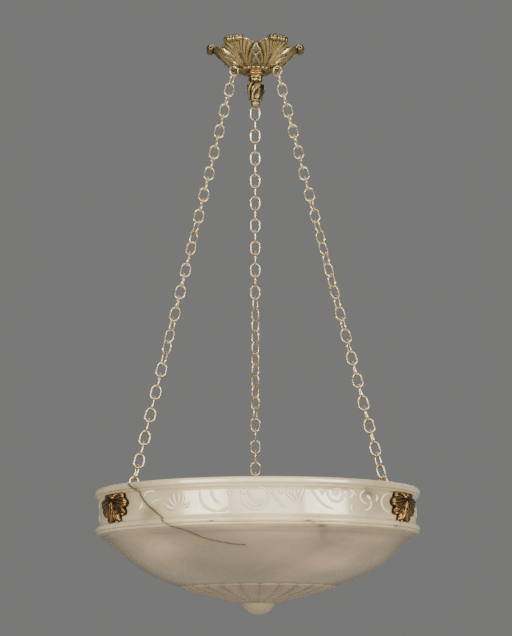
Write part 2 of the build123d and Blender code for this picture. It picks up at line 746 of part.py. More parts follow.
# Leaf appliques outside the band: lobed outline, domed face, threaded hole in the back
leaf_z = bolt_z + APPLIQUE_RISE
leaf_dome_r = BAND_R + APPLIQUE_T - APPLIQUE_DOME_R
for name, angle in zip(STATION_NAMES, STATIONS):
    with BuildPart() as leaf_applique:
        with BuildSketch(radial_plane(angle, BAND_R - APPLIQUE_T, leaf_z)):
            for across, up, long_r, wide_r, tilt in APPLIQUE_LOBES:
                for side in (-1, 1):
                    with Locations(Location((side * across, up, 0), (0, 0, side * tilt))):
                        Ellipse(long_r, wide_r)
        extrude(amount=3 * APPLIQUE_T)
        dome = radial_plane(angle, leaf_dome_r, leaf_z)
        with Locations(dome.location):
            Sphere(APPLIQUE_DOME_R, mode=Mode.INTERSECT)
        with Locations((0, 0, leaf_z)):
            Cylinder(leaf_back_r, 4 * APPLIQUE_DOME_R, mode=Mode.SUBTRACT)
        for clear_r, edge_z, way in (
            (BOWL_RIM_R, depth(RIM_H + RIM_COVE) - FACE_GAP, Align.MIN),
            (TORUS_R, depth(BAND_END) + FACE_GAP, Align.MAX),
        ):
            with Locations((0, 0, edge_z)):
                Cylinder(
                    clear_r + FACE_GAP,
                    APPLIQUE_DOME_R,
                    align=(Align.CENTER, Align.CENTER, way),
                    mode=Mode.SUBTRACT,
                )
        with BuildSketch(radial_plane(angle, leaf_back_r - APPLIQUE_T, bolt_z)):
            Circle(BOLT_R + THREAD_FIT)
        extrude(amount=APPLIQUE_T + APPLIQUE_HOLE_DEPTH, mode=Mode.SUBTRACT)
    save(leaf_applique, f"leaf_applique_{name}")

# Arms of the lamp carrier: a foot under each wall bolt and a flat bar in to the hub
foot_top = bolt_z + ARM_FOOT_TOP
arm_top = bolt_z - ARM_FOOT_BELOW_BOLT
hub_bottom = arm_top + FACE_GAP
hub_top = hub_bottom + HUB_H
for name, angle in zip(STATION_NAMES, STATIONS):
    with BuildPart() as spider_arm:
        with BuildSketch(section_plane(angle)):
            with BuildLine():
                Polyline(
                    (HUB_R - ARM_HUB_OVERLAP, arm_top - ARM_T / 2),
                    (foot_face_r + ARM_T / 2, arm_top - ARM_T / 2),
                    (foot_face_r + ARM_T / 2, foot_top),
                )
                offset(amount=ARM_T / 2, side=Side.BOTH)
            make_face()
        extrude(amount=ARM_WIDTH / 2, both=True)
        with BuildSketch(radial_plane(angle, foot_face_r - ARM_T, bolt_z)):
            Circle(BOLT_R + BOLT_CLEARANCE / 2)
        extrude(amount=3 * ARM_T, mode=Mode.SUBTRACT)
        with BuildSketch(Plane.XY.offset(arm_top + ARM_T)):
            with PolarLocations(SCREW_CIRCLE_R, 1, start_angle=angle):
                Circle(SCREW_R + THREAD_FIT)
        extrude(amount=-3 * ARM_T, mode=Mode.SUBTRACT)
    save(spider_arm, f"spider_arm_{name}")

# Hub: a round wiring box on top of the arms
holder_z = (hub_bottom + hub_top) / 2
with BuildPart() as wiring_hub:
    with BuildSketch(Plane.XY.offset(hub_bottom)):
        Circle(HUB_R)
    extrude(amount=HUB_H)
    fillet(wiring_hub.edges().group_by(Axis.Z)[0], HUB_WALL / 2)
    with BuildSketch(Plane.XY.offset(hub_bottom + HUB_WALL)):
        Circle(HUB_R - HUB_WALL)
    extrude(amount=HUB_H, mode=Mode.SUBTRACT)
    with BuildSketch(Plane.XY.offset(hub_bottom)):
        with PolarLocations(SCREW_CIRCLE_R, STATION_COUNT, start_angle=STATIONS[0]):
            Circle(SCREW_R + THREAD_FIT)
    extrude(amount=HUB_WALL, mode=Mode.SUBTRACT)
    for angle in LAMP_ANGLES:
        with BuildSketch(radial_plane(angle, HUB_R - 2 * HUB_WALL, holder_z)):
            Circle(NIPPLE_R + THREAD_FIT)
        extrude(amount=4 * HUB_WALL, mode=Mode.SUBTRACT)
save(wiring_hub, "wiring_hub")

with BuildPart() as hub_cover:
    with BuildSketch(Plane.XY.offset(hub_top + FACE_GAP)):
        Circle(HUB_R)
    extrude(amount=COVER_T)
    fillet(hub_cover.edges().group_by(Axis.Z)[-1], COVER_T / 2)
    with BuildSketch(Plane.XY.offset(hub_top + FACE_GAP)):
        Circle(HUB_R - HUB_WALL - BODY_GAP)
        Circle(HUB_R - 2 * HUB_WALL - BODY_GAP, mode=Mode.SUBTRACT)
    extrude(amount=-COVER_LIP)
    with Locations((0, 0, hub_top + FACE_GAP + COVER_T)):
        Hole(GLAND_R + THREAD_FIT, depth=2 * COVER_T)
save(hub_cover, "hub_cover")

# Screws that hold the arms to the hub, from below
with BuildPart() as hub_screws:
    screw_head_z = arm_top - ARM_T - FACE_GAP
    with BuildSketch(Plane.XY.offset(screw_head_z)):
        with PolarLocations(SCREW_CIRCLE_R, STATION_COUNT, start_angle=STATIONS[0]):
            Circle(SCREW_HEAD_R)
    extrude(amount=-SCREW_HEAD_H)
    fillet(hub_screws.edges().group_by(Axis.Z)[0], SCREW_HEAD_H / 2)
    with BuildSketch(Plane.XY.offset(screw_head_z - SCREW_HEAD_H / 2)):
        with PolarLocations(SCREW_CIRCLE_R, STATION_COUNT, start_angle=STATIONS[0]):
            Circle(SCREW_R)
    extrude(amount=SCREW_HEAD_H / 2 + ARM_T + HUB_WALL + SCREW_R)
save(hub_screws, "hub_screws")

# Cord inlet gland through the cover, with its nut under the cover
gland_face = hub_top + FACE_GAP + COVER_T + FACE_GAP
with BuildPart() as cord_gland:
    with BuildSketch(Plane.XY.offset(gland_face)):
        RegularPolygon(GLAND_R * 1.5, 6, major_radius=False)
    extrude(amount=GLAND_H / 2)
    with BuildSketch(Plane.XY.offset(gland_face)):
        Circle(GLAND_R)
    extrude(amount=GLAND_H)
    fillet(cord_gland.edges().group_by(Axis.Z)[-1], GLAND_R / 4)
    with BuildSketch(Plane.XY.offset(gland_face)):
        Circle(GLAND_R)
    extrude(amount=-(COVER_T + 2 * GLAND_NUT_H))
    with Locations((0, 0, gland_face + GLAND_H)):
        Hole(GLAND_BORE_R, depth=4 * GLAND_H)
save(cord_gland, "cord_gland")

with BuildPart() as gland_nut:
    with BuildSketch(Plane.XY.offset(hub_top)):
        RegularPolygon(GLAND_R * 1.5, 6, major_radius=False)
        Circle(GLAND_R + THREAD_FIT, mode=Mode.SUBTRACT)
    extrude(amount=-GLAND_NUT_H)
save(gland_nut, "gland_nut")

# Lampholders stand out from the hub between the arms, each on a hollow nipple with a nut
holder_start = HUB_R + FACE_GAP
core_start = holder_start + HOLDER_BASE_T + FACE_GAP
bulb_start = core_start + CORE_LENGTH - CAP_LENGTH
with BuildPart() as holder_nuts:
    for angle in LAMP_ANGLES:
        nut_face = sqrt((HUB_R - HUB_WALL) ** 2 - (NUT_AF / 2) ** 2 / 0.75)
        with BuildSketch(radial_plane(angle, nut_face - NUT_T - FACE_GAP, holder_z)):
            RegularPolygon(NUT_AF / 2, 6, major_radius=False)
            Circle(NIPPLE_R + THREAD_FIT, mode=Mode.SUBTRACT)
        extrude(amount=NUT_T)
save(holder_nuts, "holder_nuts")

for name, angle in zip(LAMP_NAMES, LAMP_ANGLES):
    with BuildPart() as holder_nipple:
        with BuildSketch(radial_plane(angle, core_start - FACE_GAP - NIPPLE_LENGTH, holder_z)):
            Circle(NIPPLE_R)
            Circle(NIPPLE_BORE_R, mode=Mode.SUBTRACT)
        extrude(amount=NIPPLE_LENGTH)
    save(holder_nipple, f"holder_nipple_{name}")

    with BuildPart() as holder_shell:
        with BuildSketch(radial_plane(angle, holder_start, holder_z)):
            Circle(HOLDER_R)
        extrude(amount=HOLDER_LENGTH)
        with BuildSketch(radial_plane(angle, holder_start + HOLDER_BASE_T, holder_z)):
            Circle(HOLDER_R - HOLDER_WALL)
        extrude(amount=HOLDER_LENGTH, mode=Mode.SUBTRACT)
        with BuildSketch(radial_plane(angle, holder_start, holder_z)):
            Circle(NIPPLE_R + THREAD_FIT)
        extrude(amount=HOLDER_BASE_T, mode=Mode.SUBTRACT)
    save(holder_shell, f"holder_shell_{name}")

    with BuildPart() as holder_core:
        with BuildSketch(radial_plane(angle, core_start, holder_z)):
            Circle(HOLDER_R - HOLDER_WALL - FACE_GAP)
        extrude(amount=CORE_LENGTH)
        with BuildSketch(radial_plane(angle, bulb_start - BODY_GAP, holder_z)):
            Circle(CAP_R + BODY_GAP)
        extrude(amount=CORE_LENGTH, mode=Mode.SUBTRACT)
    save(holder_core, f"holder_core_{name}")

    axis_line = Axis((0, 0, holder_z), section_plane(angle).x_dir)
    cap_end = bulb_start + CAP_LENGTH
    neck_end = cap_end + BULB_NECK_LENGTH
    neck_fall = sqrt(BULB_R**2 - (BULB_NECK_R + GLASS_T) ** 2)
    glass_centre = neck_end + neck_fall
    with BuildPart() as bulb_cap:
        with BuildSketch(radial_plane(angle, bulb_start + CONTACT_T, holder_z)):
            Circle(CAP_R)
        extrude(amount=CAP_LENGTH - CONTACT_T)
        with BuildSketch(radial_plane(angle, bulb_start, holder_z)):
            Circle(CONTACT_R)
        extrude(amount=2 * CONTACT_T)
    save(bulb_cap, f"bulb_cap_{name}")

    upright = section_plane(angle)
    level = Plane(origin=(0, 0, holder_z), x_dir=upright.x_dir, z_dir=upright.z_dir)
    with BuildPart() as bulb_glass:
        with BuildSketch(level):
            with BuildLine():
                Polyline(
                    (glass_centre + BULB_R, 0),
                    (cap_end + FACE_GAP, 0),
                    (cap_end + FACE_GAP, BULB_NECK_R),
                    (neck_end, BULB_NECK_R),
                    (neck_end, BULB_NECK_R + GLASS_T),
                )
                ThreePointArc(
                    (neck_end, BULB_NECK_R + GLASS_T),
                    (glass_centre, BULB_R),
                    (glass_centre + BULB_R, 0),
                )
            make_face()
        revolve(axis=axis_line)
    save(bulb_glass, f"bulb_glass_{name}")
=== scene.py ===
import json
import math

import bpy
import numpy as np
from mathutils import Matrix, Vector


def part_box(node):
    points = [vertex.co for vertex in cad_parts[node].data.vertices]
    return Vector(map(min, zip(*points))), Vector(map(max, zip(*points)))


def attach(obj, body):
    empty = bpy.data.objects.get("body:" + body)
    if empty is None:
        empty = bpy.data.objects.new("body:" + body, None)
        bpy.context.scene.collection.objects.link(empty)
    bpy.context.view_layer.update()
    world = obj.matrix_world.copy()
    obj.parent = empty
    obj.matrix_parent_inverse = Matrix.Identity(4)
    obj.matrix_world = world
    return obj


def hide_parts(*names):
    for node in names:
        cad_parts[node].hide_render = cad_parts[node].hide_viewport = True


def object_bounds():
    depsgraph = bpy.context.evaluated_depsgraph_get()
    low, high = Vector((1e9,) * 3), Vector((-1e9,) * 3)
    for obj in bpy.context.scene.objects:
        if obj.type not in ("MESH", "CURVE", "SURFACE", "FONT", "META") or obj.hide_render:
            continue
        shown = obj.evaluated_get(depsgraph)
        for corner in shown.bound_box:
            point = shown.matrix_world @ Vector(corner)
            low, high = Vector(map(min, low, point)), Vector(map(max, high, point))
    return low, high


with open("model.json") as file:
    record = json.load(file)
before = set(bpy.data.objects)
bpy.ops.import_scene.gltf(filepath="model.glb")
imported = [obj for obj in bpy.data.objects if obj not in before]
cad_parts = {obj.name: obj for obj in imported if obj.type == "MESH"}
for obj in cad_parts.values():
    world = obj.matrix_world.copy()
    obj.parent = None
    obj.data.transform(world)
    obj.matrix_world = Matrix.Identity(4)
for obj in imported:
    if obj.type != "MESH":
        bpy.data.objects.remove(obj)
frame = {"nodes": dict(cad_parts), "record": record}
cad_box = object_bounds()

# Lengths are in millimetres and go through MM when a mesh is made, apart from the studio's
# floor and lights and the sizes in shaders, which are in metres. Angles are in degrees from
# +X. The origin is the hanging eye's centre, and the front faces -Y.
MM = 0.001
FRONT = -90
# Where the chains meet the bowl, and the middles of the frieze's bays between them
STATIONS = {"left": -150, "right": -30, "back": 90}
BAYS = [FRONT, 30, 150]

# Camera, as fitted to the photograph: its place, its turns and its lens
CAMERA_DISTANCE = 3335.3
CAMERA_DROP = 1006.0
CAMERA_PITCH = 9.74
CAMERA_SIDE = -1.2
CAMERA_AZIMUTH = -1.0
CAMERA_ROLL = -0.3
FOCAL_PIXELS = 2122
IMAGE_HEIGHT = 636
SENSOR = 36.0

# Bowl, with depths measured down from the rim's top
RIM_R = 254.4
BAND_R = 247.7
INNER_R = 235.6
RIM_ROUND = 3.0
RIM_FACE = 7.6
RIM_GROOVE = 10.1
BAND_TOP = 14.6
BAND_END = 56.4
TORUS_CREASE = 65.4
STEP_CREASE = 69.9
BODY_R = 233.4
BODY_START = 80.2
BODY_MID = (189.3, 117.5)
ROSETTE_R = 120.5
ROSETTE_DEPTH = 147.8
ROSETTE_LIP = 4.0
PETAL_COUNT = 24
PETAL_MID = (76.5, 164.0)
PETAL_GROOVE = 2.3
PETAL_ROUNDING = 0.45
# Share of the petals' depth that is left at the knob
PETAL_FADE = 0.45
SCALLOP = 4.5
SCALLOP_START_R = 60
KNOB_R = 27.4
KNOB_DEPTH = 174.6
BOWL_H = 192.2
BOWL_WALL = 13.0
FLOOR_WALL = 17.0
BOWL_SEGMENTS = 610
POLE_R = 0.4
# The rim's cove and the torus under the band, as (radius, depth) points
RIM_COVE = [
    (RIM_R, RIM_FACE), (254.0, 8.7), (253.0, 9.6), (252.1, RIM_GROOVE), (252.4, 10.7),
    (252.3, 11.7), (251.3, 13.0), (249.4, 14.1),
]
TORUS = [
    (BAND_R, BAND_END), (250.2, 56.7), (252.0, 57.6), (253.1, 58.8), (253.8, 60.3),
    (254.0, 61.7), (253.8, 63.2), (253.0, 64.5), (251.7, TORUS_CREASE), (252.1, 66.1),
    (251.8, 67.0), (250.6, 68.3), (249.2, 69.3), (248.4, STEP_CREASE), (248.6, 70.6),
    (247.4, 72.0), (245.0, 73.4), (244.4, 74.6), (239.0, 77.4),
]

rim_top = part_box("alabaster_bowl")[1].z / MM


# ---- Mesh helpers

def grid_faces(rows, columns, closed):
    """Quads of a grid of points, row by row. A closed grid joins its last column to its first."""
    across = columns if closed else columns - 1
    i, j = np.meshgrid(np.arange(rows - 1), np.arange(across), indexing="ij")
    k = (j + 1) % columns
    quads = [i * columns + j, i * columns + k, (i + 1) * columns + k, (i + 1) * columns + j]
    return np.stack(quads, -1).reshape(-1, 4).tolist()


def closing_faces(rows, columns):
    """Quads that join the last row of a grid to its first."""
    last = (rows - 1) * columns
    return [[last + i, last + (i + 1) % columns, (i + 1) % columns, i] for i in range(columns)]


def end_caps(rows, columns):
    """Faces that close the first and last row of a tube."""
    return [list(range(columns)), list(reversed(range((rows - 1) * columns, rows * columns)))]


def unit_ball(rows, columns):
    """Points and faces of a ball with a radius of 1."""
    turns = np.radians(np.arange(0, 360, 360 / columns))
    u, v = np.meshgrid(np.linspace(0, math.pi, rows), turns, indexing="ij")
    ball = np.stack([np.sin(u) * np.cos(v), np.sin(u) * np.sin(v), np.cos(u)], -1)
    return ball.reshape(-1, 3), grid_faces(rows, columns, True)


def make_piece(name, points, faces, material, body, marks=None):
    """A smooth mesh piece from points in millimetres, riding on a body.

    Marks are named values of its points, which the materials read.
    """
    mesh = bpy.data.meshes.new(name)
    mesh.from_pydata((np.asarray(points) * MM).tolist(), [], faces)
    for key, values in (marks or {}).items():
        layer = mesh.attributes.new(key, "FLOAT", "POINT")
        layer.data.foreach_set("value", np.asarray(values, np.float32).ravel())
    mesh.polygons.foreach_set("use_smooth", [True] * len(mesh.polygons))
    mesh.materials.append(material)
    mesh.validate()
    mesh.update()
    piece = bpy.data.objects.new(name, mesh)
    bpy.context.scene.collection.objects.link(piece)
    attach(piece, body)
    return piece


def joined(parts):
    """Points and faces of several (points, faces) pairs as one pair."""
    points, faces, start = [], [], 0
    for part_points, part_faces in parts:
        points.append(np.asarray(part_points, float))
        faces += [[start + i for i in face] for face in part_faces]
        start += len(part_points)
    return np.vstack(points), faces


def smoothstep(low, high, value):
    t = np.clip((value - low) / (high - low), 0, 1)
    return t * t * (3 - 2 * t)


def turned(points, angle):
    """Points turned about the lamp's axis."""
    a = math.radians(angle)
    spin = np.array([[math.cos(a), math.sin(a), 0], [-math.sin(a), math.cos(a), 0], [0, 0, 1]])
    return np.asarray(points) @ spin


def circle_through(p, q, r):
    """Centre and radius of the circle through three points."""
    ax, ay = q[0] - p[0], q[1] - p[1]
    bx, by = r[0] - p[0], r[1] - p[1]
    d = 2 * (ax * by - ay * bx)
    ux = (by * (ax**2 + ay**2) - ay * (bx**2 + by**2)) / d
    uy = (ax * (bx**2 + by**2) - bx * (ax**2 + ay**2)) / d
    return p[0] + ux, p[1] + uy, math.hypot(ux, uy)


def arc(p, q, r, count):
    """Points along the arc from p through q to r, without its last point."""
    cx, cy, radius = circle_through(p, q, r)
    a, b, c = (math.atan2(y - cy, x - cx) for x, y in (p, q, r))
    sweep = (c - a) % (2 * math.pi)
    if (b - a) % (2 * math.pi) > sweep:
        sweep -= 2 * math.pi
    turns = [a + sweep * i / count for i in range(count)]
    return [(cx + radius * math.cos(t), cy + radius * math.sin(t)) for t in turns]


def run(p, q, count):
    """Points along a straight run from p to q, without its last point."""
    across, down = q[0] - p[0], q[1] - p[1]
    return [(p[0] + across * i / count, p[1] + down * i / count) for i in range(count)]


# ---- Materials

def new_material(name):
    material = bpy.data.materials.new(name)
    material.use_nodes = True
    tree = material.node_tree
    return material, tree, tree.nodes["Principled BSDF"]


def add_node(tree, kind, inputs=None, **settings):
    """A shader node with its settings and the values of its named inputs."""
    node = tree.nodes.new(kind)
    for key, value in settings.items():
        setattr(node, key, value)
    for key, value in (inputs or {}).items():
        node.inputs[key].default_value = value
    return node


def place_node(tree, scale):
    """The point on the object, in metres, stretched by a scale."""
    where = add_node(tree, "ShaderNodeTexCoord")
    mapping = add_node(tree, "ShaderNodeMapping", {"Scale": scale})
    tree.links.new(where.outputs["Object"], mapping.inputs["Vector"])
    return mapping.outputs["Vector"]


def noise(tree, scale, detail, roughness=0.55, stretch=(1, 1, 1), distortion=0.0):
    inputs = {"Scale": scale, "Detail": detail, "Roughness": roughness, "Distortion": distortion}
    node = add_node(tree, "ShaderNodeTexNoise", inputs)
    tree.links.new(place_node(tree, stretch), node.inputs["Vector"])
    return node.outputs["Fac"]


def ramp(tree, value, low, high, start=0.0, end=1.0):
    """Value between low and high, as a share from start to end."""
    inputs = {"From Min": low, "From Max": high, "To Min": start, "To Max": end}
    node = add_node(tree, "ShaderNodeMapRange", inputs, interpolation_type="SMOOTHSTEP")
    tree.links.new(value, node.inputs["Value"])
    return node.outputs["Result"]


def blend_colour(tree, share, first, second):
    """First colour where the share is 0 and second where it is 1. Each is a colour or a socket."""
    node = add_node(tree, "ShaderNodeMix", data_type="RGBA")
    for socket, colour in ((node.inputs[6], first), (node.inputs[7], second)):
        if isinstance(colour, tuple):
            socket.default_value = (*colour, 1)
        else:
            tree.links.new(colour, socket)
    tree.links.new(share, node.inputs[0])
    return node.outputs[2]


def mark(tree, name):
    return add_node(tree, "ShaderNodeAttribute", attribute_name=name).outputs["Fac"]


def add_roughness(tree, shader, scale, detail, low, high):
    """Roughness that drifts between two values."""
    drift = ramp(tree, noise(tree, scale, detail), 0.3, 0.7, low, high)
    tree.links.new(drift, shader.inputs["Roughness"])


def add_bump(tree, shader, height, strength, distance):
    node = add_node(tree, "ShaderNodeBump", {"Strength": strength, "Distance": distance})
    tree.links.new(height, node.inputs["Height"])
    tree.links.new(node.outputs["Normal"], shader.inputs["Normal"])


# Depths where the stone's colour falls from the band's to the body's darker one, mostly painted
# shade as the body faces down
BODY_SHADE_START = 68.0
BODY_SHADE_END = 72.5
# Colours of the marks that the bowl's points carry, in the order in which they are laid on. The
# grey and the dirt marks carry painted shade too
STONE_MARKS = {
    "grey_and_shade": (0.175, 0.158, 0.115),
    "rose": (0.58, 0.42, 0.32),
    "stain": (0.045, 0.034, 0.020),
    "dirt_and_shade": (0.185, 0.122, 0.070),
}


def stone_drifts(low):
    """Clouds, warm drifts, veins and flecks: noise, its start and full, most and colour."""
    return [
        ((7, 5, 0.6, (1, 1, 2.4), 0.6), (0.42, 0.68), 0.42, tuple(0.62 * c for c in low)),
        ((4.5, 3, 0.5, (1, 1, 1.6), 0.3), (0.52, 0.72), 0.35, (0.62, 0.44, 0.31)),
        ((11, 7, 0.62, (1, 1, 3.5), 1.6), (0.60, 0.72), 0.30, (0.26, 0.22, 0.16)),
        ((95, 6, 0.7), (0.55, 0.75), 0.22, tuple(0.75 * c for c in low)),
    ]


def alabaster_material(name, high, low, rough, coat):
    """Polished stone: cream above and darker below, the darker part mostly painted shade, with
    drifts, marks and a coat.
    """
    material, tree, shader = new_material(name)
    where = add_node(tree, "ShaderNodeTexCoord")
    split = add_node(tree, "ShaderNodeSeparateXYZ")
    tree.links.new(where.outputs["Object"], split.inputs["Vector"])
    # Painted shade: the colour darkens below the torus, where the body faces down away from the
    # lights
    lowest, highest = (rim_top - BODY_SHADE_END) * MM, (rim_top - BODY_SHADE_START) * MM
    fall = ramp(tree, split.outputs["Z"], lowest, highest, 1, 0)
    colour = blend_colour(tree, fall, high, low)
    for noise_values, (start, full), most, tint in stone_drifts(low):
        drift = ramp(tree, noise(tree, *noise_values), start, full, 0, most)
        colour = blend_colour(tree, drift, colour, tint)
    for key, tint in STONE_MARKS.items():
        colour = blend_colour(tree, mark(tree, key), colour, tint)
    tree.links.new(colour, shader.inputs["Base Color"])
    add_roughness(tree, shader, 60, 4, rough, rough + 0.14)
    shader.inputs["Subsurface Weight"].default_value = 0.15
    shader.inputs["Subsurface Radius"].default_value = (1.0, 0.75, 0.45)
    shader.inputs["Subsurface Scale"].default_value = 0.008
    shader.inputs["Coat Weight"].default_value = coat
    shader.inputs["Coat Roughness"].default_value = 0.11
    add_bump(tree, shader, noise(tree, 90, 3), 0.03, 0.0005)
    return material


def metal_material(name, bright, dark, rough, wear, bump, use_mark=False):
    """Cast or turned metal whose colour drifts from bright to dark, darkest in marked hollows."""
    material, tree, shader = new_material(name)
    drift = ramp(tree, noise(tree, wear, 5, 0.6), 0.35, 0.68, 0, 0.75)
    colour = blend_colour(tree, drift, bright, tuple((b + d) / 2 for b, d in zip(bright, dark)))
    if use_mark:
        colour = blend_colour(tree, mark(tree, "hollow"), colour, dark)
    tree.links.new(colour, shader.inputs["Base Color"])
    shader.inputs["Metallic"].default_value = 1.0
    add_roughness(tree, shader, wear * 2.5, 4, rough - 0.08, rough + 0.12)
    add_bump(tree, shader, noise(tree, wear * 9, 5, 0.6), bump, 0.0004)
    return material


def plain_material(name, first, second, rough, scale=90, bump=0.15):
    """Unmetallic material with a fine drift between two near colours."""
    material, tree, shader = new_material(name)
    colour = blend_colour(tree, ramp(tree, noise(tree, scale, 5), 0.35, 0.65), first, second)
    tree.links.new(colour, shader.inputs["Base Color"])
    add_roughness(tree, shader, scale * 2, 3, rough - 0.05, rough + 0.08)
    add_bump(tree, shader, noise(tree, scale * 6, 4), bump, 0.0003)
    return material


# The second colour, of the body below the torus, is darkened mostly as painted shade and partly as
# greyer stone
alabaster = alabaster_material(
    "alabaster", (0.62, 0.55, 0.38), (0.232, 0.198, 0.142), 0.18, 0.6)
carved_stone = alabaster_material(
    "alabaster_carved", (0.88, 0.81, 0.62), (0.78, 0.66, 0.48), 0.45, 0.0)
seam_stone = plain_material("seam_stone", (0.014, 0.010, 0.006), (0.050, 0.038, 0.024), 0.5)
gilt = metal_material(
    "gilt_brass", (0.46, 0.375, 0.20), (0.024, 0.018, 0.007), 0.32, 36, 0.06, use_mark=True)
red_brass = metal_material("red_brass", (0.42, 0.27, 0.145), (0.18, 0.10, 0.05), 0.32, 36, 0.08)
chain_brass = metal_material(
    "chain_brass", (0.80, 0.68, 0.43), (0.50, 0.39, 0.20), 0.30, 50, 0.02)
bronze = metal_material(
    "antique_bronze", (0.44, 0.275, 0.125), (0.018, 0.009, 0.004), 0.30, 50, 0.08, use_mark=True)
plain_brass = metal_material(
    "plain_brass", (0.78, 0.62, 0.32), (0.40, 0.29, 0.14), 0.30, 60, 0.12)
steel = metal_material("steel", (0.27, 0.265, 0.255), (0.12, 0.115, 0.11), 0.42, 80, 0.15)
fibre = plain_material("fibre", (0.20, 0.12, 0.075), (0.13, 0.075, 0.05), 0.7)
porcelain = plain_material("porcelain", (0.84, 0.82, 0.76), (0.76, 0.74, 0.68), 0.16, 40, 0.05)
lamp_glass = plain_material("lamp_glass", (0.90, 0.88, 0.82), (0.84, 0.82, 0.77), 0.12, 30, 0.03)

cad_materials = {
    "steel": steel,
    "red_brass": red_brass,
    "chain_brass": chain_brass,
    "plain_brass": plain_brass,
    "fibre": fibre,
    "porcelain": porcelain,
    "lamp_glass": lamp_glass,
    "gilt_brass": gilt,
    "antique_bronze": bronze,
    "alabaster": alabaster,
}
for part in frame["record"]["subparts"]:
    node = frame["nodes"][part["node"]]
    node.data.materials.clear()
    node.data.materials.append(cad_materials[part["material_slot"]])


# ---- Alabaster bowl

def petal_share(angle):
    """0 in the groove between two petals of the rosette and 1 on a petal's back."""
    phase = (np.degrees(angle) - FRONT) * PETAL_COUNT / 360
    return np.abs(np.sin(np.pi * phase)) ** PETAL_ROUNDING


body_x, body_y, body_radius = circle_through(
    (BODY_R, BODY_START), BODY_MID, (ROSETTE_R + ROSETTE_LIP, ROSETTE_DEPTH)
)
inner_radius = body_radius - BOWL_WALL


def inner_depth(radius):
    return body_y + math.sqrt(inner_radius**2 - (radius - body_x) ** 2)


def cap_middle(edge_r, edge_depth, pole_depth):
    """Point half way along a round cap, from its edge down to its pole on the axis."""
    fall = pole_depth - edge_depth
    radius = (edge_r**2 + fall**2) / (2 * fall)
    half_turn = math.asin(edge_r / radius) / 2
    return radius * math.sin(half_turn), pole_depth - radius * (1 - math.cos(half_turn))


lip = (ROSETTE_R - ROSETTE_LIP / 2, ROSETTE_DEPTH + ROSETTE_LIP)
body_foot = (ROSETTE_R + ROSETTE_LIP, ROSETTE_DEPTH)
inner_foot = (ROSETTE_R, inner_depth(ROSETTE_R))
inner_wall_foot = (INNER_R, inner_depth(INNER_R))
inner_middle_r = (INNER_R + ROSETTE_R) / 2
inner_floor = KNOB_DEPTH - FLOOR_WALL
floor_edge = (ROSETTE_R * 0.5, inner_floor + 0.6)
floor_bend = (ROSETTE_R * 0.78, (inner_floor + inner_foot[1]) / 2 + 1.4)
quarter = RIM_ROUND * (1 - math.sqrt(0.5))
petal_top = (ROSETTE_R + 1, ROSETTE_DEPTH + 0.4)
knob_edge = (KNOB_R + 2, KNOB_DEPTH - 0.4)

bowl_profile = (
    run((INNER_R + RIM_ROUND, 0), (RIM_R - RIM_ROUND, 0), 4)
    + arc((RIM_R - RIM_ROUND, 0), (RIM_R - quarter, quarter), (RIM_R, RIM_ROUND), 6)
    + run((RIM_R, RIM_ROUND), (RIM_R, RIM_FACE), 3)
    + RIM_COVE
    + run((BAND_R, BAND_TOP), (BAND_R, BAND_END), 11)
    + TORUS
    + arc((BODY_R, BODY_START), BODY_MID, body_foot, 22)
    + run(body_foot, petal_top, 3)
    + arc(petal_top, (ROSETTE_R + 0.6, ROSETTE_DEPTH + 2.4), lip, 5)
    + arc(lip, PETAL_MID, knob_edge, 26)
    + [knob_edge, (KNOB_R + 1, KNOB_DEPTH - 1.4)]
    + arc((KNOB_R, KNOB_DEPTH), cap_middle(KNOB_R, KNOB_DEPTH, BOWL_H), (0, BOWL_H), 14)
)
bowl_inside = (
    run((0.5, inner_floor), floor_edge, 4)
    + arc(floor_edge, floor_bend, inner_foot, 5)
    + arc(inner_foot, (inner_middle_r, inner_depth(inner_middle_r)), inner_wall_foot, 10)
    + run(inner_wall_foot, (INNER_R, RIM_ROUND), 3)
    + arc((INNER_R, RIM_ROUND), (INNER_R + quarter, quarter), (INNER_R + RIM_ROUND, 0), 4)
)

# The old crack in the front left: angle and depth of points along it
CRACK = [
    (-140.6, 0.5), (-139.5, 6), (-137.9, 9.5), (-136.3, 13.5), (-135.7, 20.5), (-133.6, 30.5),
    (-131.6, 38), (-129.8, 42.5), (-128.2, 48), (-125.8, 55), (-124.3, 62), (-122.4, 68),
    (-120.3, 71), (-118.7, 73), (-116.2, 76.5), (-114.6, 80.5), (-112, 85.5), (-108.3, 90),
    (-103.2, 94), (-99.8, 96), (-95.9, 97),
]
# How far the stain beside the crack reaches, how strong it starts and how much of it fades
STAIN_REACH = 3.2
STAIN_STRENGTH = 0.60
STAIN_FADE = 0.7
# Brown spots: angle, depth, reach round in degrees, reach down and strength
SPOTS = [
    (-106.5, 63.6, 0.9, 1.5, 1.0),
    (-74.0, 64.2, 1.6, 1.5, 0.90),
    (-72.3, 66.5, 1.0, 1.5, 0.90),
    (-69.0, 70.6, 2.0, 2.2, 1.0),
    (-67.0, 77, 2.4, 5.0, 0.45),
    (-66.5, 84, 1.3, 9, 0.30),
    (-49.5, 20, 2.8, 5.5, 0.72),
    (-52.0, 24, 3.4, 2.5, 0.50),
    (-51.5, 12.5, 0.8, 1.1, 0.95),
    (-35.7, 65.5, 1.2, 1.8, 1.0),
    (-33.3, 57, 0.6, 9, 0.65),
    (-109.5, 98.5, 1.2, 2.0, 0.35),
    (-125, 91, 1.0, 2.4, 0.30),
    (-62.5, 92, 3.0, 2.5, 0.30),
    (-56.0, 89, 3.6, 2.0, 0.28),
    (-58.8, 28, 1.3, 9, 0.28),
    (-60.5, 97, 6, 1.6, 0.16),
]
